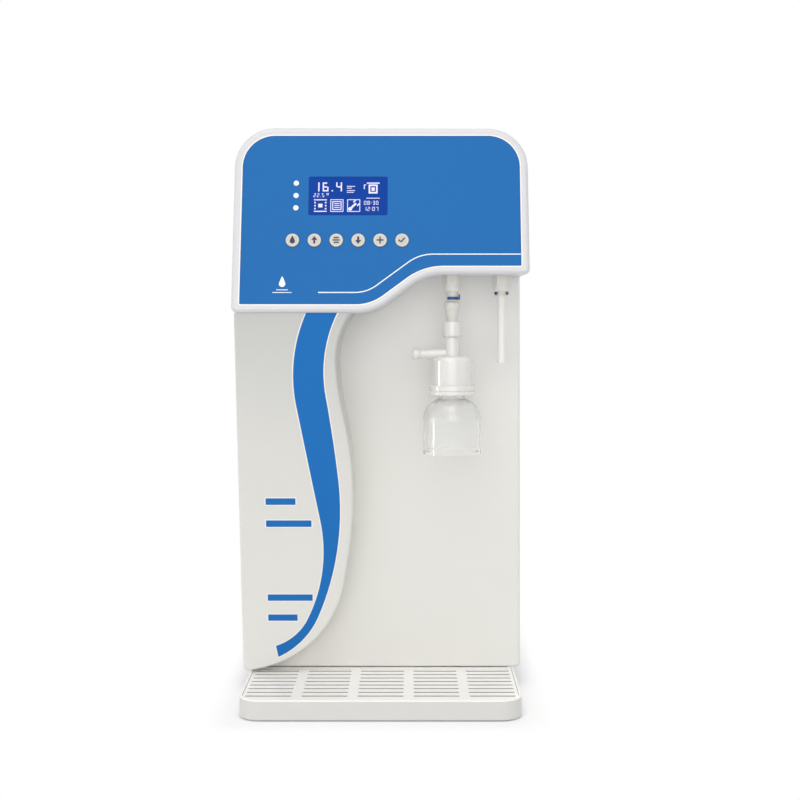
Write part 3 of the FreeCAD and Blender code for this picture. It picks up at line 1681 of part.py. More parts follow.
def build():
    parts = {
        "base_pan": base_pan(),
        "cabinet_feet": cabinet_feet(),
        "partition_plate": partition_plate(),
        "rear_panel": rear_panel(),
        "left_side_cover": side_cover(-1),
        "right_side_cover": side_cover(1),
        "top_cover": top_cover(),
        "front_panel": front_panel(),
        "column_cover": column_cover(),
        "column_swoosh": column_swoosh(),
        "column_bars": column_bars(),
        "head_cowl": head_cowl(),
        "control_overlay": control_overlay(),
        "display_window": display_window(),
        "display_module": display_module(),
        "status_light_pipes": status_light_pipes(),
        "control_board": control_board(),
        "drip_tray": drip_tray(),
        "drip_grille": drip_grille(),
        "tray_feet": tray_feet(),
        "left_outlet_fitting": outlet_fitting(filter_x, outlet_rings),
        "right_outlet_fitting": outlet_fitting(tube_x, 0),
        "outlet_locknuts": outlet_locknuts(),
        "outlet_collets": outlet_collets(),
        "left_collet_clip": collet_clip(filter_x, filter_outlet_low, clip_tab, 0),
        "right_collet_clip": collet_clip(tube_x, taper_low, clip_long_tab, 90),
        "filter_stem": filter_stem(),
        "filter_nut": filter_nut(),
        "filter_capsule": filter_capsule(),
        "filter_vent_cap": filter_vent_cap(),
        "filter_bell": filter_bell(),
        "dispensing_tube": dispensing_tube(),
        "pretreatment_cartridge": pretreatment_cartridge(),
        "polishing_cartridges": polishing_cartridges(),
        "cartridge_heads": cartridge_heads(),
        "ro_membrane_housing": ro_membrane_housing(),
        "uv_lamp_housing": uv_lamp_housing(),
        "holder_clips": holder_clips(),
        "pump_head": pump_head(),
        "pump_motor_can": pump_motor_can(),
        "pump_rotor": pump_rotor(),
        "pump_cradle": pump_cradle(),
        "power_supply": power_supply(),
        "solenoid_valves": solenoid_valves(),
        "conductivity_cell": conductivity_cell(),
        "internal_tubing": internal_tubing(),
        "power_inlet": power_inlet(),
        "inlet_pins": inlet_pins(),
        "power_rocker": power_rocker(),
        "rear_ports": rear_ports(),
        "feed_port_collet": port_collet(port_xs[0]),
        "tank_port_collet": port_collet(port_xs[1]),
        "drain_port_collet": port_collet(port_xs[2]),
        "case_screws": case_screws(),
    }
    for index in range(button_count):
        parts["button_%d" % (index + 1)] = panel_button(index)
    return parts


os.makedirs("parts", exist_ok=True)
for node, shape in build().items():
    shape.exportStep("parts/%s.step" % node)
    print(node, len(shape.Solids), round(shape.Volume), shape.isValid())
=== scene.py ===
import json
import math

import bmesh
import bpy
from mathutils import Matrix, Vector


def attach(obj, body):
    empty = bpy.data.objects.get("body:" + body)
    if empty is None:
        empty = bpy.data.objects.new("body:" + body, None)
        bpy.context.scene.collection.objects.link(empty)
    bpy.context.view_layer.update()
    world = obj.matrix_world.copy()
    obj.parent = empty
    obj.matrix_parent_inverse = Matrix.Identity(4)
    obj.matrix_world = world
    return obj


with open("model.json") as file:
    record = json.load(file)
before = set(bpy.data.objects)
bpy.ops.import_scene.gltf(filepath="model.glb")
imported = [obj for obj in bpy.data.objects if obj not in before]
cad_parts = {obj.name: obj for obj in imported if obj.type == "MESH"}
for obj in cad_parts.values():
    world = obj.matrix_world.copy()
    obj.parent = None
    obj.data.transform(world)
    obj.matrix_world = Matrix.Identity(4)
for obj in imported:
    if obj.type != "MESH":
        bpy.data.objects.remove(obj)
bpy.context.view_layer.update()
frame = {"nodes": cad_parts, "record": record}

mm = 0.001
white = (1, 1, 1, 1)


class Signal:
    # One output socket. Sums on it add Math nodes to its material.
    def __init__(self, finish, socket):
        self.finish = finish
        self.socket = socket

    def __add__(self, other):
        return self.finish.math("ADD", self, other)

    def __radd__(self, other):
        return self.finish.math("ADD", other, self)

    def __sub__(self, other):
        return self.finish.math("SUBTRACT", self, other)

    def __rsub__(self, other):
        return self.finish.math("SUBTRACT", other, self)

    def __mul__(self, other):
        return self.finish.math("MULTIPLY", self, other)

    def __rmul__(self, other):
        return self.finish.math("MULTIPLY", other, self)

    def __lt__(self, other):
        return self.finish.math("LESS_THAN", self, other)

    def __gt__(self, other):
        return self.finish.math("GREATER_THAN", self, other)


class Finish:
    # A node tree being built: a material's, or the world's.
    def __init__(self, owner, outputKind="ShaderNodeOutputMaterial"):
        owner.use_nodes = True
        self.owner = owner
        self.tree = owner.node_tree
        self.tree.nodes.clear()
        self.output = self.tree.nodes.new(outputKind)

    def node(self, kind, settings=None, inputs=None, output=0):
        made = self.tree.nodes.new(kind)
        for key, value in (settings or {}).items():
            if key == "stops":
                setStops(made.color_ramp, value)
            else:
                setattr(made, key, value)
        for key, value in (inputs or {}).items():
            if isinstance(value, Signal):
                self.tree.links.new(value.socket, made.inputs[key])
            else:
                made.inputs[key].default_value = value
        return Signal(self, made.outputs[output])

    def math(self, operation, *values):
        return self.node("ShaderNodeMath", {"operation": operation}, dict(enumerate(values)))

    def along(self, axis):
        # The place on a piece along X, Y or Z, in metres.
        where = self.node("ShaderNodeTexCoord", output="Object")
        return self.node("ShaderNodeSeparateXYZ", inputs={"Vector": where}, output=axis)

    def place(self, stretch=(1, 1, 1)):
        where = self.node("ShaderNodeTexCoord", output="Object")
        return self.node("ShaderNodeMapping", inputs={"Vector": where, "Scale": stretch})

    def noise(self, scale, detail=2, stretch=(1, 1, 1)):
        inputs = {"Vector": self.place(stretch), "Scale": scale, "Detail": detail}
        return self.node("ShaderNodeTexNoise", inputs=inputs)

    def rise(self, value, low, high, top=1.0):
        # 0 up to low, top from high on, and a smooth rise between them.
        inputs = {"Value": value, "From Min": low, "From Max": high, "To Max": top}
        return self.node("ShaderNodeMapRange", {"interpolation_type": "SMOOTHSTEP"}, inputs)

    def mix(self, factor, first, second):
        inputs = {0: factor, 6: first, 7: second}        # factor and the two colours
        return self.node("ShaderNodeMix", {"data_type": "RGBA"}, inputs, 2)

    def shades(self, factor, colour, low, high):
        # One colour, between two gains of its brightness.
        return self.mix(factor, tinted(self, colour, low), tinted(self, colour, high))

    def mixShader(self, factor, first, second):
        return self.node("ShaderNodeMixShader", inputs={0: factor, 1: first, 2: second})

    def bump(self, height, depth):
        # The depth is in millimetres.
        return self.node("ShaderNodeBump", inputs={"Height": height, "Distance": depth * mm})

    def surface(self, inputs):
        return self.finishWith(self.node("ShaderNodeBsdfPrincipled", inputs=inputs))

    def finishWith(self, shader):
        # Ends the tree, and gives the material that it belongs to.
        self.tree.links.new(shader.socket, self.output.inputs["Surface"])
        return self.owner


def setStops(ramp, stops):
    for index, (place, colour) in enumerate(stops):
        stop = ramp.elements[index] if index < len(ramp.elements) else ramp.elements.new(place)
        stop.position = place
        stop.color = colour


def tone(red, green, blue):
    # A colour from everyday sRGB values of 0 to 255, in the linear values that shaders take.
    def linear(value):
        value /= 255
        return value / 12.92 if value <= 0.04045 else ((value + 0.055) / 1.055) ** 2.4
    return (linear(red), linear(green), linear(blue), 1.0)


def dimmed(colour, gain):
    return tuple(min(value * gain, 1.0) for value in colour[:3]) + (1.0,)


def tintless(colour):
    grey = sum(colour[:3]) / 3
    return (grey, grey, grey, 1.0)


def tinted(finish, colour, gain):
    # A colour, or a fade between (height in mm, colour) pairs from low to high.
    if not isinstance(colour, list):
        return dimmed(colour, gain)
    low, high = colour[0][0], colour[-1][0]
    share = (finish.along("Z") - low * mm) * (1 / (high - low) / mm)
    stops = [((z - low) / (high - low), dimmed(shade, gain)) for z, shade in colour]
    return finish.node("ShaderNodeValToRGB", {"stops": stops}, {"Fac": share})


def newFinish(name):
    return Finish(bpy.data.materials.new(name))


moulding = {
    "drift": 9,                # scale of the slow drift of shade
    "grain": 1400,             # scale of the spark-eroded skin
    "depth": 0.012,            # its relief in mm
    "spread": 0.05,            # how far the roughness swings
    "coatRoughness": 0.15,
}


def mouldedPlastic(name, colour, roughness, grain=moulding["grain"], depth=moulding["depth"], shade=0.015,
                   coat=0.0, sheen=0.5):
    # Spark-eroded plastic: a slow drift of shade, a fine grain and a soft sheen.
    finish = newFinish(name)
    drift = finish.noise(scale=moulding["drift"], detail=3)
    fine = finish.noise(scale=grain)
    return finish.surface({
        "Base Color": finish.shades(drift, colour, 1 - shade, 1 + shade),
        "Roughness": (fine - 0.5) * moulding["spread"] + (drift - 0.5) * moulding["spread"] + roughness,
        "Specular IOR Level": sheen,
        "Coat Weight": coat,
        "Coat Roughness": moulding["coatRoughness"],
        "Normal": finish.bump(fine, depth),
    })


trayInside = {
    "halfWidth": 124.0,
    "frontY": -221.0,
    "topZ": 16.6,
    "dulled": 0.2,             # roughness that standing water has added
}


def trayPlasticPaintedShade(name, colour, basinPaintedShade):
    # The tray's glossy plastic, duller inside where water has stood, with painted shade darkening its
    # inside.
    finish = newFinish(name)
    drift = finish.noise(scale=moulding["drift"], detail=3)
    fine = finish.noise(scale=moulding["grain"])
    inside = finish.math("ABSOLUTE", finish.along("X")) < trayInside["halfWidth"] * mm
    inside = inside * (finish.along("Y") > trayInside["frontY"] * mm)
    inside = inside * (finish.along("Z") < trayInside["topZ"] * mm)
    return finish.surface({
        # painted shade: the inside takes the darker basin colour
        "Base Color": finish.mix(inside, finish.shades(drift, colour, 0.985, 1.015), basinPaintedShade),
        "Roughness": (fine - 0.5) * moulding["spread"] + inside * trayInside["dulled"] + 0.33,
        "Coat Weight": 0.1,
        "Coat Roughness": moulding["coatRoughness"],
        "Normal": finish.bump(fine, moulding["depth"]),
    })


def coatedSheet(name, colour):
    # Powder coat on sheet steel: an orange-peel skin over the metal.
    finish = newFinish(name)
    peel = finish.noise(scale=900, detail=3)
    drift = finish.noise(scale=6)
    tint = finish.shades(drift, colour, 0.975, 1.01)
    return finish.surface({
        "Base Color": finish.mix(peel, dimmed(tintless(colour), 0.97), tint),
        "Roughness": (peel - 0.5) * 0.16 + 0.46,
        "Normal": finish.bump(peel, depth=0.05),
    })


def zincSheet(name, colour):
    # Galvanised steel, with the crystals of the zinc.
    finish = newFinish(name)
    crystals = finish.node("ShaderNodeTexVoronoi", {"distance": "MINKOWSKI"},
                           {"Vector": finish.place(), "Scale": 130}, "Color")
    level = finish.node("ShaderNodeSeparateColor", inputs={"Color": crystals})
    scratches = finish.noise(scale=60, detail=4, stretch=(1, 14, 1))
    return finish.surface({
        "Base Color": finish.shades(level, colour, 0.82, 1.08),
        "Metallic": 1.0,
        "Roughness": level * 0.16 + scratches * 0.1 + 0.3,
        "Normal": finish.bump(scratches, depth=0.01),
    })


def brushedMetal(name, colour, stretch, roughness=0.28):
    # Fine lines along the axis that the stretch is smallest on.
    finish = newFinish(name)
    lines = finish.noise(scale=2200, detail=3, stretch=stretch)
    clouds = finish.noise(scale=25, detail=3)
    return finish.surface({
        "Base Color": finish.shades(clouds, colour, 0.9, 1.04),
        "Metallic": 1.0,
        "Roughness": (lines - 0.5) * 0.2 + (clouds - 0.5) * 0.08 + roughness,
        "Normal": finish.bump(lines, depth=0.004),
    })


def softRubber(name, colour):
    # Pored rubber with dust on it.
    finish = newFinish(name)
    pores = finish.noise(scale=700, detail=4)
    dust = finish.noise(scale=40, detail=5)
    return finish.surface({
        "Base Color": finish.shades(dust, colour, 0.8, 1.5),
        "Roughness": pores * 0.2 + 0.62,
        "Normal": finish.bump(pores, depth=0.05),
    })


def printedFilm(name, colour):
    # The control overlay: a velvet polyester film, printed from behind.
    finish = newFinish(name)
    velvet = finish.noise(scale=2600)
    drift = finish.noise(scale=7)
    return finish.surface({
        "Base Color": finish.shades(drift, colour, 0.985, 1.015),
        "Roughness": (velvet - 0.5) * 0.08 + 0.4,
        "Specular IOR Level": 0.2,
        "Normal": finish.bump(velvet, depth=0.006),
    })


displayDots = {
    "pitch": 0.58,             # mm
    "gap": 0.14,               # share of the pitch
    "gapShade": 0.55,
    "contrast": 0.3,           # how far the gaps show
    "glow": 0.12,
}


def displayGlass(name, colour):
    # A backlit dot display behind a clear window: faint gaps between the dots, and an uneven lamp.
    finish = newFinish(name)
    gaps = []
    for axis in "XZ":
        dots = finish.along(axis) * (1 / displayDots["pitch"] / mm)
        gaps.append(finish.math("FRACT", dots) < displayDots["gap"])
    glow = finish.noise(scale=35)
    lit = finish.shades(glow, colour, 0.9, 1.12)
    between = dimmed(colour, displayDots["gapShade"])
    dotted = finish.mix(finish.math("MAXIMUM", *gaps) * displayDots["contrast"], lit, between)
    return finish.surface({
        "Base Color": dotted,
        "Roughness": glow * 0.06 + 0.2,
        "Specular IOR Level": 0.1,
        "Emission Color": dotted,
        "Emission Strength": displayDots["glow"],
    })


def lightPipe(name, colour):
    # The frosted end of a status light.
    finish = newFinish(name)
    frost = finish.noise(scale=1500)
    return finish.surface({
        "Base Color": finish.shades(frost, colour, 0.95, 1.0),
        "Roughness": frost * 0.1 + 0.2,
        "Emission Color": colour,
        "Emission Strength": 0.03,
        "Normal": finish.bump(frost, depth=0.01),
    })


def milkyPlastic(name, colour):
    # Polypropylene of the capsule: light goes some way in, and flow marks run up the moulding.
    finish = newFinish(name)
    flow = finish.noise(scale=120, detail=3, stretch=(1, 1, 0.15))
    fine = finish.noise(scale=1500)
    return finish.surface({
        "Base Color": finish.shades(flow, colour, 0.96, 1.03),
        "Roughness": flow * 0.05 + (fine - 0.5) * 0.03 + 0.1,
        "Subsurface Weight": 0.35,
        "Subsurface Radius": (1.0, 0.95, 0.9),
        "Subsurface Scale": 0.004,
        "Transmission Weight": 0.12,
        "IOR": 1.49,
        "Coat Weight": 0.6,
        "Coat Roughness": 0.04,
        "Normal": finish.bump(flow, depth=0.02),
    })


bellFrost = {
    "fromZ": 272.0,            # foot of the dome
    "over": 3.0,               # height in which it comes in
    "roughness": 0.22,
    "shadowless": 0.9,         # share of the light that the thin wall lets straight through
}


def clearPlastic(name, colour):
    # The clear bell: a thin shell with flow marks, frosted over its dome. It throws next to no shadow.
    finish = newFinish(name)
    flow = finish.noise(scale=90, detail=3, stretch=(1, 1, 0.12))
    haze = finish.noise(scale=600)
    low, high = bellFrost["fromZ"] * mm, (bellFrost["fromZ"] + bellFrost["over"]) * mm
    frost = finish.rise(finish.along("Z"), low, high, bellFrost["roughness"])
    shaded = finish.node("ShaderNodeLightPath", output="Is Shadow Ray")
    lit = finish.node("ShaderNodeLightPath", output="Is Diffuse Ray")
    return finish.surface({
        "Base Color": finish.shades(flow, colour, 0.98, 1.0),
        "Roughness": flow * 0.03 + haze * 0.02 + frost,
        "Transmission Weight": 0.87,
        "IOR": 1.45,
        "Alpha": 1 - finish.math("MAXIMUM", shaded, lit) * bellFrost["shadowless"],
        "Normal": finish.bump(flow, depth=0.05),
    })


def circuitBoard(name, colour):
    # Solder mask over copper tracks.
    finish = newFinish(name)
    tracks = finish.node("ShaderNodeTexBrick", inputs={
        "Vector": finish.place(), "Scale": 60.0, "Mortar Size": 0.03,
        "Color1": colour, "Color2": dimmed(colour, 0.8), "Mortar": dimmed(colour, 1.8)})
    weave = finish.noise(scale=900)
    return finish.surface({
        "Base Color": tracks,
        "Roughness": weave * 0.15 + 0.3,
        "Normal": finish.bump(weave, depth=0.02),
    })


def printedInk(name, colour):
    # Screen ink, a little uneven.
    finish = newFinish(name)
    edge = finish.noise(scale=1800)
    return finish.surface({
        "Base Color": finish.shades(edge, colour, 0.96, 1.02),
        "Roughness": edge * 0.1 + 0.4,
    })


def litMark(name, colour, strength):
    # Bright dots of the display.
    finish = newFinish(name)
    flicker = finish.noise(scale=900, detail=1)
    return finish.surface({
        "Base Color": finish.shades(flicker, colour, 0.92, 1.0),
        "Roughness": flicker * 0.05 + 0.2,
        "Emission Color": colour,
        "Emission Strength": strength,
    })


colours = {
    "cover": tone(231, 230, 225),
    # the panel: lighter towards the top, painted light against the head's shadow
    "panel": [(240.0, tone(232, 231, 225)), (400.0, tone(242, 241, 238))],
    # the column: darker towards the top, painted shade under the head
    "column": [(30.0, tone(235, 234, 228)), (250.0, tone(222, 221, 216)), (370.0, tone(201, 201, 198))],
    "bezel": tone(216, 216, 219),
    # the tray: painted shade on its sides and painted light on its top
    "tray": [(18.0, tone(221, 220, 216)), (19.0, tone(253, 250, 247))],
    # painted shade inside the tray
    "basinPaintedShade": tone(206, 201, 197),
    "grille": [(18.5, tone(168, 161, 156)), (18.95, tone(255, 252, 249))],      # painted shade: the slots' walls are darker
    "blue": tone(18, 104, 174),
    "inlay": tone(24, 112, 188),
    "display": tone(6, 60, 150),
    # cream print round the blue, made lighter as painted highlight along its edge
    "cream": tone(255, 247, 237),
    "rim": tone(226, 213, 192),
    "button": tone(200, 198, 192),
    "fitting": tone(224, 223, 215),
    "filter": tone(240, 238, 234),
    "tube": tone(238, 236, 231),
    "clip": tone(35, 75, 135),
    "ink": tone(34, 32, 66),
}
slotFinishes = {
    "white_casing": mouldedPlastic("coverPlastic", colours["cover"], 0.36, coat=0.08),
    "steel_sheet": coatedSheet("rearCoat", tone(222, 222, 218)),
    "galvanised": zincSheet("panZinc", tone(188, 192, 196)),
    "blue_panel": printedFilm("overlayFilm", colours["blue"]),
    "blue_inlay": mouldedPlastic("inlayPlastic", colours["inlay"], 0.36, sheen=0.2),
    "dark_display": displayGlass("displayGlass", colours["display"]),
    "display_body": mouldedPlastic("moduleBlack", tone(38, 38, 41), 0.5),
    "clear_light": lightPipe("lightPipe", tone(238, 242, 248)),
    "button_grey": mouldedPlastic("buttonPlastic", colours["button"], 0.42, grain=2000),
    "rubber_dark": softRubber("footRubber", tone(42, 42, 44)),
    "tray_white": trayPlasticPaintedShade("trayPlasticPaintedShade", colours["tray"], colours["basinPaintedShade"]),
    "fitting_white": mouldedPlastic("fittingPlastic", colours["fitting"], 0.4, shade=0.03),
    "clip_blue": mouldedPlastic("clipPlastic", colours["clip"], 0.32),
    "filter_white": milkyPlastic("capsulePlastic", colours["filter"]),
    "clear_bell": clearPlastic("bellPlastic", tone(252, 252, 251)),
    "tube_white": mouldedPlastic("tubePlastic", colours["tube"], 0.3, shade=0.02),
    "cartridge_white": mouldedPlastic("cartridgePlastic", tone(236, 239, 241), 0.35, shade=0.03),
    "lamp_steel": brushedMetal("lampSteel", tone(205, 207, 210), (1, 1, 0.02)),
    "clip_grey": mouldedPlastic("holderPlastic", tone(128, 131, 136), 0.5),
    "pump_black": mouldedPlastic("pumpPlastic", tone(44, 44, 48), 0.5, grain=800, depth=0.03),
    "motor_steel": brushedMetal("motorSteel", tone(180, 183, 188), (1, 0.02, 1)),
    "supply_metal": brushedMetal("supplyAluminium", tone(214, 216, 218), (1, 0.02, 1), 0.34),
    "valve_black": mouldedPlastic("valvePlastic", tone(52, 52, 58), 0.5),
    "line_white": mouldedPlastic("linePlastic", tone(238, 238, 236), 0.3, shade=0.03),
    "board_green": circuitBoard("boardGreen", tone(24, 92, 56)),
    "inlet_black": mouldedPlastic("inletPlastic", tone(30, 30, 32), 0.42, grain=900, depth=0.02),
    "brass_pins": brushedMetal("pinBrass", tone(222, 200, 138), (1, 0.02, 1), 0.22),
    "collet_grey": mouldedPlastic("colletPlastic", tone(168, 170, 172), 0.36),
    "screw_steel": brushedMetal("screwZinc", tone(215, 216, 220), (1, 1, 1), 0.22),
}
nodeFinishes = {
    "head_cowl": mouldedPlastic("bezelPlastic", colours["bezel"], 0.32, coat=0.15),
    # painted light on the panel, lighter towards the top under the head
    "front_panel": mouldedPlastic("panelPaintedLight", colours["panel"], 0.36, coat=0.08),
    # painted shade on the column, darker towards the top under the head
    "column_cover": mouldedPlastic("columnPaintedShade", colours["column"], 0.36, coat=0.08),
    # painted shade on the grille's slot walls
    "drip_grille": mouldedPlastic("grillePaintedShade", colours["grille"], 0.33, coat=0.1),
}
inkFinishes = {
    "white": printedInk("whiteInk", tone(247, 248, 250)),
    "dark": printedInk("darkInk", colours["ink"]),
    "lit": litMark("litDots", tone(226, 222, 246), 0.12),
    "cream": printedInk("creamInkPaintedHighlight", colours["cream"]),
    "rim": printedInk("rimInk", colours["rim"]),
    "label": printedInk("labelFoil", tone(206, 208, 210)),
}
print("finishes made:", len(slotFinishes) + len(nodeFinishes) + len(inkFinishes))


def dressNodes():
    for part in frame["record"]["subparts"]:
        node = part["node"]
        mesh = frame["nodes"][node].data
        mesh.materials.clear()
        mesh.materials.append(nodeFinishes.get(node) or slotFinishes[part["material_slot"]])


dressNodes()
print("nodes dressed:", len(frame["nodes"]))


head = {
    "noseY": -206.0,          # lower edge of the sloping face
    "noseZ": 377.0,
    "tilt": 11.86,            # degrees, leaning back
    "overlaySink": 0.3,       # overlay under the bezel's face
    "lineLift": 0.02,         # prints start this far above what carries them
}
tilt = math.radians(head["tilt"])
outward = Vector((0, -math.cos(tilt), math.sin(tilt)))
rightward = Vector((1, 0, 0))


def facePoint(x, z, proud):
    # A point over the overlay, in metres, from millimetres.
    onFace = Vector((x, head["noseY"] + (z - head["noseZ"]) * math.tan(tilt), z))
    return (onFace + outward * (proud - head["overlaySink"])) * mm


def drawingFrame(right, up, out, origin):
    # Takes a flat drawing in millimetres to its three directions from a point in metres.
    columns = (right * mm, up * mm, out * mm, origin)
    return Matrix([[column[row] for column in columns] for row in range(3)] + [[0, 0, 0, 1]])


def faceFrame(x, z, proud):
    # For a drawing with x to the right, y up the slope and z out of the face.
    upSlope = Vector((0, math.sin(tilt), math.cos(tilt)))
    return drawingFrame(rightward, upSlope, outward, facePoint(x, z, proud))


def outlineFrame(proud):
    # For a drawing on the head's front outline: its x and y are the bench's X and Z.
    upSlope = Vector((0, math.tan(tilt), 1))
    return drawingFrame(rightward, upSlope, outward, facePoint(0, 0, proud))


def addFace(bm, corners):
    bm.faces.new([bm.verts.new((x, y, 0)) for x, y in corners])


def addBar(bm, left, low, right, high):
    addFace(bm, [(left, low), (right, low), (right, high), (left, high)])


def addGrid(bm, width, height, turn=Matrix.Identity(4)):
    size = Matrix.Diagonal((width / 2, height / 2, 1, 1))
    bmesh.ops.create_grid(bm, x_segments=1, y_segments=1, size=1, matrix=turn @ size)


def addTurnedBar(bm, x, y, length, width, angle):
    turn = Matrix.Translation((x, y, 0)) @ Matrix.Rotation(math.radians(angle), 4, "Z")
    addGrid(bm, length, width, turn)


def addDisc(bm, x, y, radius, segments):
    spot = Matrix.Translation((x, y, 0))
    return bmesh.ops.create_circle(bm, cap_ends=True, radius=radius, segments=segments, matrix=spot)["verts"]


def addRing(bm, left, low, right, high, width):
    # A rectangular frame of four bars that don't overlap.
    addBar(bm, left, low, right, low + width)
    addBar(bm, left, high - width, right, high)
    addBar(bm, left, low + width, left + width, high - width)
    addBar(bm, right - width, low + width, right, high - width)


dropShape = {"segments": 24, "drawIn": 0.35}       # how far its sides come in towards the tip


def addDrop(bm, y, radius, height):
    # A round drop over x = 0 whose top is drawn up to a point.
    for vertex in addDisc(bm, 0, y, radius, dropShape["segments"]):
        rise = (vertex.co.y - y) / radius
        if rise > 0:
            vertex.co.y = y + radius * rise + (height - radius) * rise ** 3
            vertex.co.x *= 1 - dropShape["drawIn"] * rise ** 2


# Segments a to f run clockwise from the top one, and g is the middle one.
segmentsOf = {"0": "abcdef", "1": "bc", "2": "abged", "3": "abgcd", "4": "fgbc", "5": "afgcd",
              "6": "afgedc", "7": "abc", "8": "abcdefg", "9": "abfgcd"}
colonDots = (0.25, 0.65)      # their feet, as shares of a digit's height


def addDigit(bm, digit, left, low, width, height, stroke):
    right = left + width
    high = low + height
    middle = low + height / 2
    bars = {
        "a": (left + stroke, high - stroke, right - stroke, high),
        "g": (left + stroke, middle - stroke / 2, right - stroke, middle + stroke / 2),
        "d": (left + stroke, low, right - stroke, low + stroke),
        "f": (left, middle, left + stroke, high),
        "e": (left, low, left + stroke, middle),
        "b": (right - stroke, middle, right, high),
        "c": (right - stroke, low, right, middle),
    }
    for name in segmentsOf[digit]:
        addBar(bm, *bars[name])


def addNumber(bm, words, left, low, width, height, stroke, step):
    # Digits stand a step apart, and a point or a colon takes only its own width.
    for letter in words:
        if letter in segmentsOf:
            addDigit(bm, letter, left, low, width, height, stroke)
            left += step
            continue
        for share in colonDots if letter == ":" else (0,):
            foot = low + height * share
            addBar(bm, left, foot, left + stroke, foot + stroke)
        left += stroke + (step - width)


def itemsOf(geometry, kind):
    return [item for item in geometry if isinstance(item, kind)]


def goOn(bm, edge, length, heading):
    # Draws a strip's last edge onwards.
    grown = bmesh.ops.extrude_edge_only(bm, edges=[edge])["geom"]
    verts = itemsOf(grown, bmesh.types.BMVert)
    move = Vector((math.cos(heading), math.sin(heading), 0)) * length
    bmesh.ops.translate(bm, vec=move, verts=verts)
    return next(line for line in itemsOf(grown, bmesh.types.BMEdge) if set(line.verts) == set(verts))


def swing(bm, edge, radius, heading, angle, steps):
    # Turns a strip's last edge along an arc, to the left for a positive angle.
    side = 1 if angle > 0 else -1
    middle = (edge.verts[0].co + edge.verts[1].co) / 2
    centre = middle + Vector((-math.sin(heading), math.cos(heading), 0)) * radius * side
    whole = math.isclose(abs(angle), math.tau)
    turned = bmesh.ops.spin(bm, geom=[edge], cent=centre, axis=(0, 0, 1), angle=angle, steps=steps,
                            use_merge=whole)
    return edge if whole else itemsOf(turned["geom_last"], bmesh.types.BMEdge)[0]


arcSteps = {"least": 4, "degrees": 3}


def drawStrip(bm, start, width, moves, heading=0.0):
    # Moves are ("go", length) or ("turn", radius, degrees).
    across = Vector((-math.sin(heading), math.cos(heading), 0)) * width / 2
    place = Vector((start[0], start[1], 0))
    edge = bm.edges.new([bm.verts.new(place - across), bm.verts.new(place + across)])
    for kind, size, *turn in moves:
        if kind == "go":
            edge = goOn(bm, edge, size, heading)
        else:
            angle = math.radians(turn[0])
            steps = max(arcSteps["least"], round(abs(turn[0]) / arcSteps["degrees"]))
            edge = swing(bm, edge, size, heading, angle, steps)
            heading += angle


def thicken(bm, offset):
    # Gives flat faces a far side and walls.
    grown = bmesh.ops.extrude_face_region(bm, geom=bm.faces[:], use_keep_orig=True)["geom"]
    bmesh.ops.translate(bm, vec=offset, verts=itemsOf(grown, bmesh.types.BMVert))


def linkMesh(name, bm, material):
    mesh = bpy.data.meshes.new(name)
    bm.to_mesh(mesh)
    bm.free()
    mesh.materials.append(material)
    made = bpy.data.objects.new(name, mesh)
    bpy.context.scene.collection.objects.link(made)
    return made


mergeWithin = 1e-5            # in the units that the piece was drawn in


def makePiece(name, bm, body, material, matrix=None, thickness=0.0):
    # Finishes a mesh: doubles merged, thickness, place, normals outwards.
    bmesh.ops.remove_doubles(bm, verts=bm.verts, dist=mergeWithin)
    if thickness:
        for face in bm.faces:
            if face.normal.z < 0:
                face.normal_flip()
        thicken(bm, (0, 0, thickness))
    if matrix:
        bmesh.ops.transform(bm, matrix=matrix, verts=bm.verts)
    bmesh.ops.recalc_face_normals(bm, faces=bm.faces)
    piece = linkMesh(name, bm, material)
    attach(piece, body)


accent = {
    "startX": -59.0,
    "width": 1.0,
    "height": 19.3,        # above the head's lower edge
    "rise": 36.5,          # step of the lower edge
    "slope": 36.4,
    "middleX": 18.0,
    "lowRadius": 34.0,
    "highRadius": 40.0,
    "endX": 132.6,
    "thickness": 0.05,
}


def makeAccentLine():
    # The white line that follows the step of the head's lower edge.
    slope = math.radians(accent["slope"])
    half = accent["rise"] / math.tan(slope) / 2
    shift = accent["height"] * math.tan(slope / 2)
    lowCorner = accent["middleX"] - half - shift
    highCorner = accent["middleX"] + half - shift
    lowReach = accent["lowRadius"] * math.tan(slope / 2)
    highReach = accent["highRadius"] * math.tan(slope / 2)
    ramp = accent["rise"] / math.sin(slope) - lowReach - highReach
    bm = bmesh.new()
    drawStrip(bm, (accent["startX"], head["noseZ"] + accent["height"]), accent["width"], [
        ("go", lowCorner - lowReach - accent["startX"]),
        ("turn", accent["lowRadius"], accent["slope"]),
        ("go", ramp),
        ("turn", accent["highRadius"], -accent["slope"]),
        ("go", accent["endX"] - highCorner - highReach),
    ])
    makePiece("accentLine", bm, "chassis", inkFinishes["white"],
              outlineFrame(head["lineLift"]), accent["thickness"])


pictogram = {
    "x": -93.0,
    "z": 404.5,
    "radius": 3.1,
    "height": 7.2,
    "rippleWidth": 0.7,
    "ripples": [(6.2, 11.0), (8.8, 18.0)],     # drop below the middle, length
    "thickness": 0.05,
}


def makePictogram():
    bm = bmesh.new()
    addDrop(bm, 0, pictogram["radius"], pictogram["height"])
    for drop, length in pictogram["ripples"]:
        addBar(bm, -length / 2, -drop, length / 2, pictogram["rippleWidth"] - drop)
    makePiece("dropPictogram", bm, "chassis", inkFinishes["white"],
              faceFrame(pictogram["x"], pictogram["z"], head["lineLift"]), pictogram["thickness"])


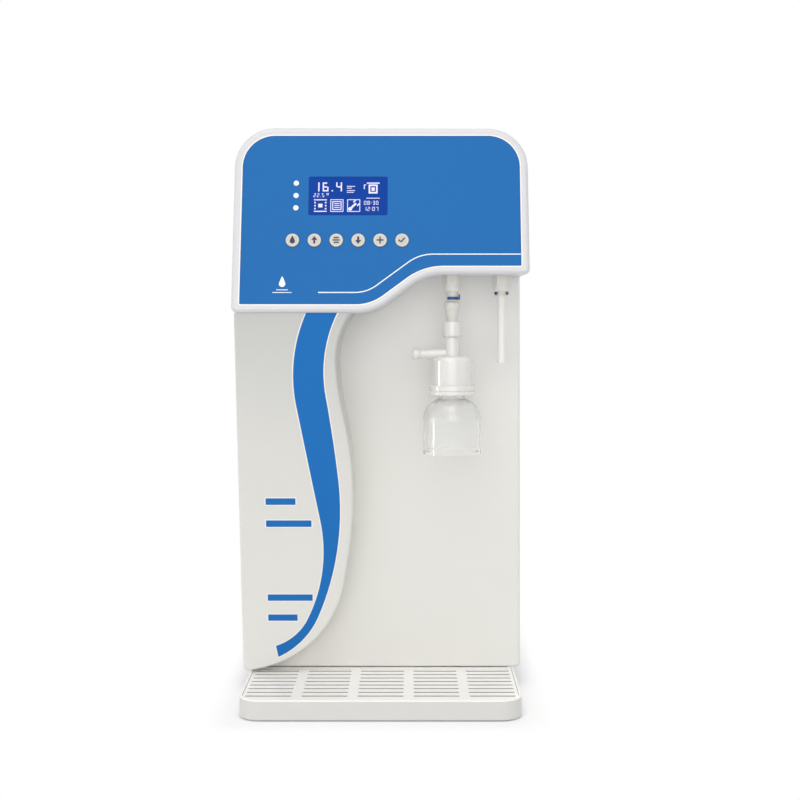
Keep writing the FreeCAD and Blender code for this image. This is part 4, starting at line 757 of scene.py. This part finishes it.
display = {
    "x": -31.6,
    "z": 489.0,
    "thickness": 0.04,
    "numbers": [                           # words, left, low, width, height, stroke, step
        ("16.4", -33.0, 4.5, 5.6, 9.0, 1.3, 8.6),
        ("22.5", -33.0, -1.2, 2.2, 3.8, 0.5, 3.2),
        ("08:30", 15.2, -8.8, 2.3, 3.8, 0.5, 3.3),
        ("12:07", 15.2, -14.8, 2.3, 3.8, 0.5, 3.3),
    ],
    "bars": [                              # left, low, right, high
        (-1.2, 9.2, 6.6, 9.9),             # lines of text beside the reading
        (-1.2, 7.4, 3.4, 8.1),
        (-1.2, 5.0, 6.6, 5.7),
        (-1.2, 3.2, 5.4, 3.9),
        (17.8, 12.2, 30.0, 13.4),          # the vessel's lid
        (22.4, 5.0, 25.4, 8.6),            # and its filling
        (15.0, 10.6, 17.2, 11.4),          # the pipe on its left
        (15.0, 6.8, 15.9, 10.6),
        (17.6, -2.6, 30.2, -1.9),          # the line under it
    ],
    "rings": [                             # left, low, right, high, width
        (-20.6, 0.8, -18.6, 2.8, 0.5),     # the degree sign
        (19.6, 2.4, 28.2, 11.4, 1.6),      # the vessel's wall
    ],
    "iconLow": -15.8,
    "iconSize": 12.4,
    "iconLine": 0.7,
}


def iconBox(left):
    low, size = display["iconLow"], display["iconSize"]
    return left, low, left + size, low + size


filmIcon = {
    "left": -32.6,
    "rail": 1.0,
    "holes": 3,
    "holeFoot": 2.4,           # of the lowest
    "holePitch": 3.0,
    "holeHeight": 1.5,
    "holeSides": (0.4, 1.8),   # from the icon's side
    "picture": (4.2, 4.4),     # from its sides and its ends
}


def addFilmIcon(bm):
    left, low, right, high = iconBox(filmIcon["left"])
    addBar(bm, left, low, right, low + filmIcon["rail"])
    addBar(bm, left, high - filmIcon["rail"], right, high)
    near, far = filmIcon["holeSides"]
    for row in range(filmIcon["holes"]):
        foot = low + filmIcon["holeFoot"] + row * filmIcon["holePitch"]
        addBar(bm, left + near, foot, left + far, foot + filmIcon["holeHeight"])
        addBar(bm, right - far, foot, right - near, foot + filmIcon["holeHeight"])
    side, end = filmIcon["picture"]
    addBar(bm, left + side, low + end, right - side, high - end)


listIcon = {
    "left": -16.8,
    "pageInset": 1.8,
    "pageLine": 0.9,
    "rows": 3,
    "rowFoot": 3.9,            # of the lowest
    "rowPitch": 1.9,
    "rowInset": 3.6,
    "rowHeight": 0.8,
}


def addListIcon(bm):
    left, low, right, high = iconBox(listIcon["left"])
    page, side = listIcon["pageInset"], listIcon["rowInset"]
    addRing(bm, left, low, right, high, display["iconLine"])
    addRing(bm, left + page, low + page, right - page, high - page, listIcon["pageLine"])
    for row in range(listIcon["rows"]):
        foot = low + listIcon["rowFoot"] + row * listIcon["rowPitch"]
        addBar(bm, left + side, foot, right - side, foot + listIcon["rowHeight"])


toolIcon = {
    "left": -0.8,
    "angle": 45,               # degrees, of the shaft
    "shaft": (0.52, 2.0),      # length as a share of the icon's size, width
    "reach": 0.27,             # of the knob from the middle, both ways, as a share of the size
    "knobRadius": 1.9,
    "knobSegments": 14,
    "jawReach": 1.35,          # in knob reaches
    "jawSpread": 34,           # degrees to each side
    "jaw": (3.2, 1.3),         # length, width
}


def addToolIcon(bm):
    left, low, right, high = iconBox(toolIcon["left"])
    addRing(bm, left, low, right, high, display["iconLine"])
    x, y = (left + right) / 2, (low + high) / 2
    shaftShare, shaftWidth = toolIcon["shaft"]
    addTurnedBar(bm, x, y, display["iconSize"] * shaftShare, shaftWidth, toolIcon["angle"])
    reach = display["iconSize"] * toolIcon["reach"]
    addDisc(bm, x - reach, y - reach, toolIcon["knobRadius"], toolIcon["knobSegments"])
    for side in (-1, 1):
        angle = math.radians(toolIcon["angle"] + side * toolIcon["jawSpread"])
        jaw = Vector((math.cos(angle), math.sin(angle))) * reach * toolIcon["jawReach"]
        addTurnedBar(bm, x + jaw.x, y + jaw.y, *toolIcon["jaw"], toolIcon["angle"])


def makeDisplayMarks():
    bm = bmesh.new()
    for number in display["numbers"]:
        addNumber(bm, *number)
    for bar in display["bars"]:
        addBar(bm, *bar)
    for ring in display["rings"]:
        addRing(bm, *ring)
    for addIcon in (addFilmIcon, addListIcon, addToolIcon):
        addIcon(bm)
    makePiece("displayMarks", bm, "chassis", inkFinishes["lit"],
              faceFrame(display["x"], display["z"], head["lineLift"]), display["thickness"])


buttons = {
    "firstX": -84.0,
    "pitch": 20.8,
    "z": 446.0,
    "proud": 1.3,
    "thickness": 0.05,
    "rimRadius": 5.45,
    "rimWidth": 0.75,
    "stroke": 1.3,             # width of the signs' lines
    "drop": (-1.0, 2.5, 5.0),  # y of its middle, radius, height
    "plusReach": 3.3,
    "levelReaches": (2.4, 3.3, 2.4),
    "levelPitch": 2.3,
    "checkStrokes": [((-3.2, 0.4), 2.6, -48), ((-1.0, -2.0), 5.6, 50)],      # start, length, heading
}
arrow = {"halfHead": 2.9, "neck": 0.1, "tip": 3.8, "halfShaft": 0.9, "tail": 3.4}


def addPlus(bm):
    reach, half = buttons["plusReach"], buttons["stroke"] / 2
    addBar(bm, -reach, -half, reach, half)
    addBar(bm, -half, half, half, reach)
    addBar(bm, -half, -reach, half, -half)


def addCheck(bm):
    for start, length, heading in buttons["checkStrokes"]:
        drawStrip(bm, start, buttons["stroke"], [("go", length)], math.radians(heading))


def addArrow(bm, up):
    neck, tail = arrow["neck"] * up, -arrow["tail"] * up
    addFace(bm, [(-arrow["halfHead"], neck), (arrow["halfHead"], neck), (0, arrow["tip"] * up)])
    addBar(bm, -arrow["halfShaft"], min(neck, tail), arrow["halfShaft"], max(neck, tail))


def addLevels(bm):
    half = buttons["stroke"] / 2
    for row, reach in enumerate(buttons["levelReaches"], -1):
        addBar(bm, -reach, row * buttons["levelPitch"] - half, reach, row * buttons["levelPitch"] + half)


def makeButtonMarks():
    drawings = [
        lambda bm: addDrop(bm, *buttons["drop"]),
        lambda bm: addArrow(bm, 1),
        addLevels,
        lambda bm: addArrow(bm, -1),
        addPlus,
        addCheck,
    ]
    rimTurn = [("turn", buttons["rimRadius"], 360)]
    for index, draw in enumerate(drawings):
        x = buttons["firstX"] + buttons["pitch"] * index
        place = faceFrame(x, buttons["z"], buttons["proud"] + head["lineLift"])
        body = "button_%d" % (index + 1)
        mark = bmesh.new()
        draw(mark)
        makePiece("buttonMark%d" % (index + 1), mark, body, inkFinishes["dark"], place,
                  buttons["thickness"])
        rim = bmesh.new()
        drawStrip(rim, (0, -buttons["rimRadius"]), buttons["rimWidth"], rimTurn)
        makePiece("buttonRim%d" % (index + 1), rim, body, inkFinishes["rim"], place,
                  buttons["thickness"])


painted = {
    # the line's width is partly painted highlight along the edge
    "width": 1.05,
    "lift": 0.03,          # over the face that carries the line
    "thickness": 0.04,
    "inlayProud": 0.15,    # swoosh and bars over the column's face
    "columnLean": 11.9,    # degrees, the column's face forward
    "topZ": 376.9,         # lines on the column end under the head
    "sameWay": 0.999,      # cosine of the angle between two faces that count as parallel
    "level": 0.05,         # faces this near the outermost one lie in its plane
    "mergeWithin": 1e-6,   # metres
}
lean = math.radians(painted["columnLean"])
columnOut = Vector((0, -math.cos(lean), -math.sin(lean)))


def deleteFaces(bm, faces):
    bmesh.ops.delete(bm, geom=faces, context="FACES")


def frontFaces(node, direction):
    # A copy of the faces of a solid that look one way, the outermost plane only.
    bm = bmesh.new()
    bm.from_mesh(frame["nodes"][node].data)
    facing = [face for face in bm.faces if face.normal.dot(direction) > painted["sameWay"]]
    reach = max(face.calc_center_median().dot(direction) for face in facing) - painted["level"] * mm
    kept = {face for face in facing if face.calc_center_median().dot(direction) > reach}
    deleteFaces(bm, [face for face in bm.faces if face not in kept])
    bmesh.ops.remove_doubles(bm, verts=bm.verts, dist=painted["mergeWithin"])
    return bm


def islandsOf(bm):
    # Groups of faces that hang together.
    left = set(bm.faces)
    groups = []
    while left:
        group, waiting = set(), [left.pop()]
        while waiting:
            face = waiting.pop()
            group.add(face)
            near = {other for line in face.edges for other in line.link_faces} & left
            left -= near
            waiting += near
        groups.append(group)
    return groups


def growRim(bm, direction, width):
    # Quads of one width all round the faces, which stay inside them.
    rim = [line for line in bm.edges if line.is_boundary]
    sides = {}
    for line in rim:
        low, high = (vertex.co for vertex in line.verts)
        side = (high - low).normalized().cross(direction)
        if side.dot((low + high) / 2 - line.link_faces[0].calc_center_median()) < 0:
            side.negate()
        for vertex in line.verts:
            sides.setdefault(vertex, []).append(side)
    grown = bmesh.ops.extrude_edge_only(bm, edges=rim)["geom"]
    for vertex in itemsOf(grown, bmesh.types.BMVert):
        first, second = next(sides[line.other_vert(vertex)] for line in vertex.link_edges
                             if line.other_vert(vertex) in sides)
        vertex.co += (first + second) * (width / (1 + first.dot(second)))


def makePaintedEdge(name, node, direction, lift, outerOnly=False, topZ=None):
    # A pale line round the faces of a blue node, on the face that carries it: cream print, and partly
    # painted highlight along the edge.
    bm = frontFaces(node, direction)
    inner = bm.faces[:]
    growRim(bm, direction, painted["width"] * mm)
    deleteFaces(bm, inner)
    if outerOnly:
        widest = max(islandsOf(bm), key=lambda group: sum(face.calc_area() for face in group))
        deleteFaces(bm, [face for face in bm.faces if face not in widest])
    if topZ:
        for vertex in bm.verts:
            vertex.co.z = min(vertex.co.z, topZ * mm)
    bmesh.ops.translate(bm, vec=direction * lift * mm, verts=bm.verts)
    thicken(bm, direction * painted["thickness"] * mm)
    makePiece(name, bm, "chassis", inkFinishes["cream"])


def makePaintedEdges():
    onBezel = painted["lift"] + head["overlaySink"]
    onColumn = painted["lift"] - painted["inlayProud"]
    makePaintedEdge("overlayEdge", "control_overlay", outward, onBezel, outerOnly=True)
    makePaintedEdge("swooshEdge", "column_swoosh", columnOut, onColumn, topZ=painted["topZ"])
    makePaintedEdge("barEdges", "column_bars", columnOut, onColumn)


makeAccentLine()
makePictogram()
makeDisplayMarks()
makeButtonMarks()
makePaintedEdges()
print("prints made")


plate = {
    "x": -62.0,
    "z": 148.0,
    "y": 203.0,            # rear panel's face
    "width": 64.0,
    "height": 40.0,
    "corner": 3.0,
    "cornerSegments": 6,
    "thickness": 0.25,
    "rows": 4,
    "line": 0.4,
    "margin": 2.0,
    "inkThickness": 0.02,
}


def makeRatingPlate():
    # A plate on the back with empty rows.
    origin = Vector((plate["x"], plate["y"] + head["lineLift"], plate["z"])) * mm
    place = drawingFrame(Vector((-1, 0, 0)), Vector((0, 0, 1)), Vector((0, 1, 0)), origin)
    bm = bmesh.new()
    addGrid(bm, plate["width"], plate["height"])
    bmesh.ops.bevel(bm, geom=bm.verts[:], offset=plate["corner"], offset_type="OFFSET",
                    segments=plate["cornerSegments"], profile=0.5, affect="VERTICES", material=-1)
    makePiece("ratingPlate", bm, "chassis", inkFinishes["label"], place, plate["thickness"])
    bm = bmesh.new()
    halfWidth = plate["width"] / 2 - plate["margin"]
    halfHeight = plate["height"] / 2 - plate["margin"]
    addRing(bm, -halfWidth, -halfHeight, halfWidth, halfHeight, plate["line"])
    pitch = 2 * halfHeight / plate["rows"]
    for row in range(1, plate["rows"]):
        height = row * pitch - halfHeight
        addBar(bm, -halfWidth + plate["line"], height, halfWidth - plate["line"], height + plate["line"])
    lifted = place @ Matrix.Translation((0, 0, plate["thickness"] + head["lineLift"]))
    makePiece("ratingLines", bm, "chassis", inkFinishes["dark"], lifted, plate["inkThickness"])


makeRatingPlate()
print("rating plate made")


def seenDirectly(finish):
    # 1 for rays from the camera, in a reflection or through glass.
    camera, glossy, through = (finish.node("ShaderNodeLightPath", output=name)
                               for name in ("Is Camera Ray", "Is Glossy Ray", "Is Transmission Ray"))
    return finish.math("MAXIMUM", finish.math("MAXIMUM", camera, glossy), through)


fillStrength = 0.585          # of the light from all round


def makeWorld():
    world = bpy.data.worlds.new("studioWorld")
    bpy.context.scene.world = world
    finish = Finish(world, "ShaderNodeOutputWorld")
    lighting, seen = (finish.node("ShaderNodeBackground", inputs={"Color": white, "Strength": strength})
                      for strength in (fillStrength, 1.0))
    finish.finishWith(finish.mixShader(seenDirectly(finish), lighting, seen))


floorPaper = {
    "halfSize": 9.0,
    "grey": 0.8,
    "speck": 1.01,             # gain of the lighter specks
    "glow": 0.2,
    "footHalf": (0.132, 0.23),     # half the part's footprint
    "fade": (0.0, 0.035),          # beyond it the floor fades to the background's white
}


def floorFinish():
    finish = newFinish("floorPaper")
    grey = (floorPaper["grey"],) * 3 + (1,)
    tint = finish.mix(finish.noise(scale=300), grey, dimmed(grey, floorPaper["speck"]))
    paper = finish.node("ShaderNodeBsdfDiffuse", inputs={"Color": tint})
    glow, bright = (finish.node("ShaderNodeEmission", inputs={"Color": white, "Strength": strength})
                    for strength in (floorPaper["glow"], 1.0))
    lifted = finish.node("ShaderNodeAddShader", inputs={0: paper, 1: glow})
    apart = []
    for axis, half in zip("XY", floorPaper["footHalf"]):
        beyond = finish.math("ABSOLUTE", finish.along(axis)) - half
        apart.append(finish.math("MAXIMUM", beyond, 0.0))
    distance = finish.math("SQRT", apart[0] * apart[0] + apart[1] * apart[1])
    seen = finish.mixShader(finish.rise(distance, *floorPaper["fade"]), lifted, bright)
    return finish.finishWith(finish.mixShader(seenDirectly(finish), paper, seen))


def makeFloor():
    bm = bmesh.new()
    bmesh.ops.create_grid(bm, x_segments=1, y_segments=1, size=floorPaper["halfSize"])
    linkMesh("floor", bm, floorFinish())


lamps = {
    "key": {"power": 12.0, "place": (-0.2, -1.15, 2.05), "size": (1.2, 1.2)},
    "front": {"power": 10.3, "place": (0.0, -2.05, 0.75), "size": (1.6, 1.2)},
    "streak": {"power": 2.4, "place": (-1.5, -0.42, 0.2), "size": (0.045, 0.3)},     # for the round pieces
    "back": {"power": 9.0, "place": (0.4, 1.6, 1.3), "size": (1.2, 1.2)},
}
lampTarget = Vector((0.0, -0.1, 0.3))


def addLamp(name, power, place, size):
    lamp = bpy.data.lights.new(name, "AREA")
    lamp.shape = "RECTANGLE"
    lamp.size, lamp.size_y = size
    lamp.energy = power
    holder = bpy.data.objects.new(name, lamp)
    holder.location = place
    holder.rotation_euler = (lampTarget - Vector(place)).to_track_quat("-Z", "Y").to_euler()
    bpy.context.scene.collection.objects.link(holder)


view = {
    "place": (0.0285, -1.479, 0.3656),
    "lens": 61.07,
    "frame": 800,              # pixels, both ways
    "axisX": 411,              # where the lens looks, in those pixels
    "axisY": 325,
}


def makeCamera():
    camera = bpy.data.cameras.new("camera")
    camera.lens = view["lens"]
    camera.shift_x = (view["frame"] / 2 - view["axisX"]) / view["frame"]
    camera.shift_y = (view["axisY"] - view["frame"] / 2) / view["frame"]
    holder = bpy.data.objects.new("camera", camera)
    holder.location = view["place"]
    holder.rotation_euler = (math.radians(90), 0, 0)
    bpy.context.scene.collection.objects.link(holder)
    bpy.context.scene.camera = holder


makeWorld()
makeFloor()
for lampName, lampValues in lamps.items():
    addLamp(lampName, **lampValues)
makeCamera()
bpy.context.scene.view_settings.view_transform = "Standard"
print("stage and camera set")

bpy.context.view_layer.update()
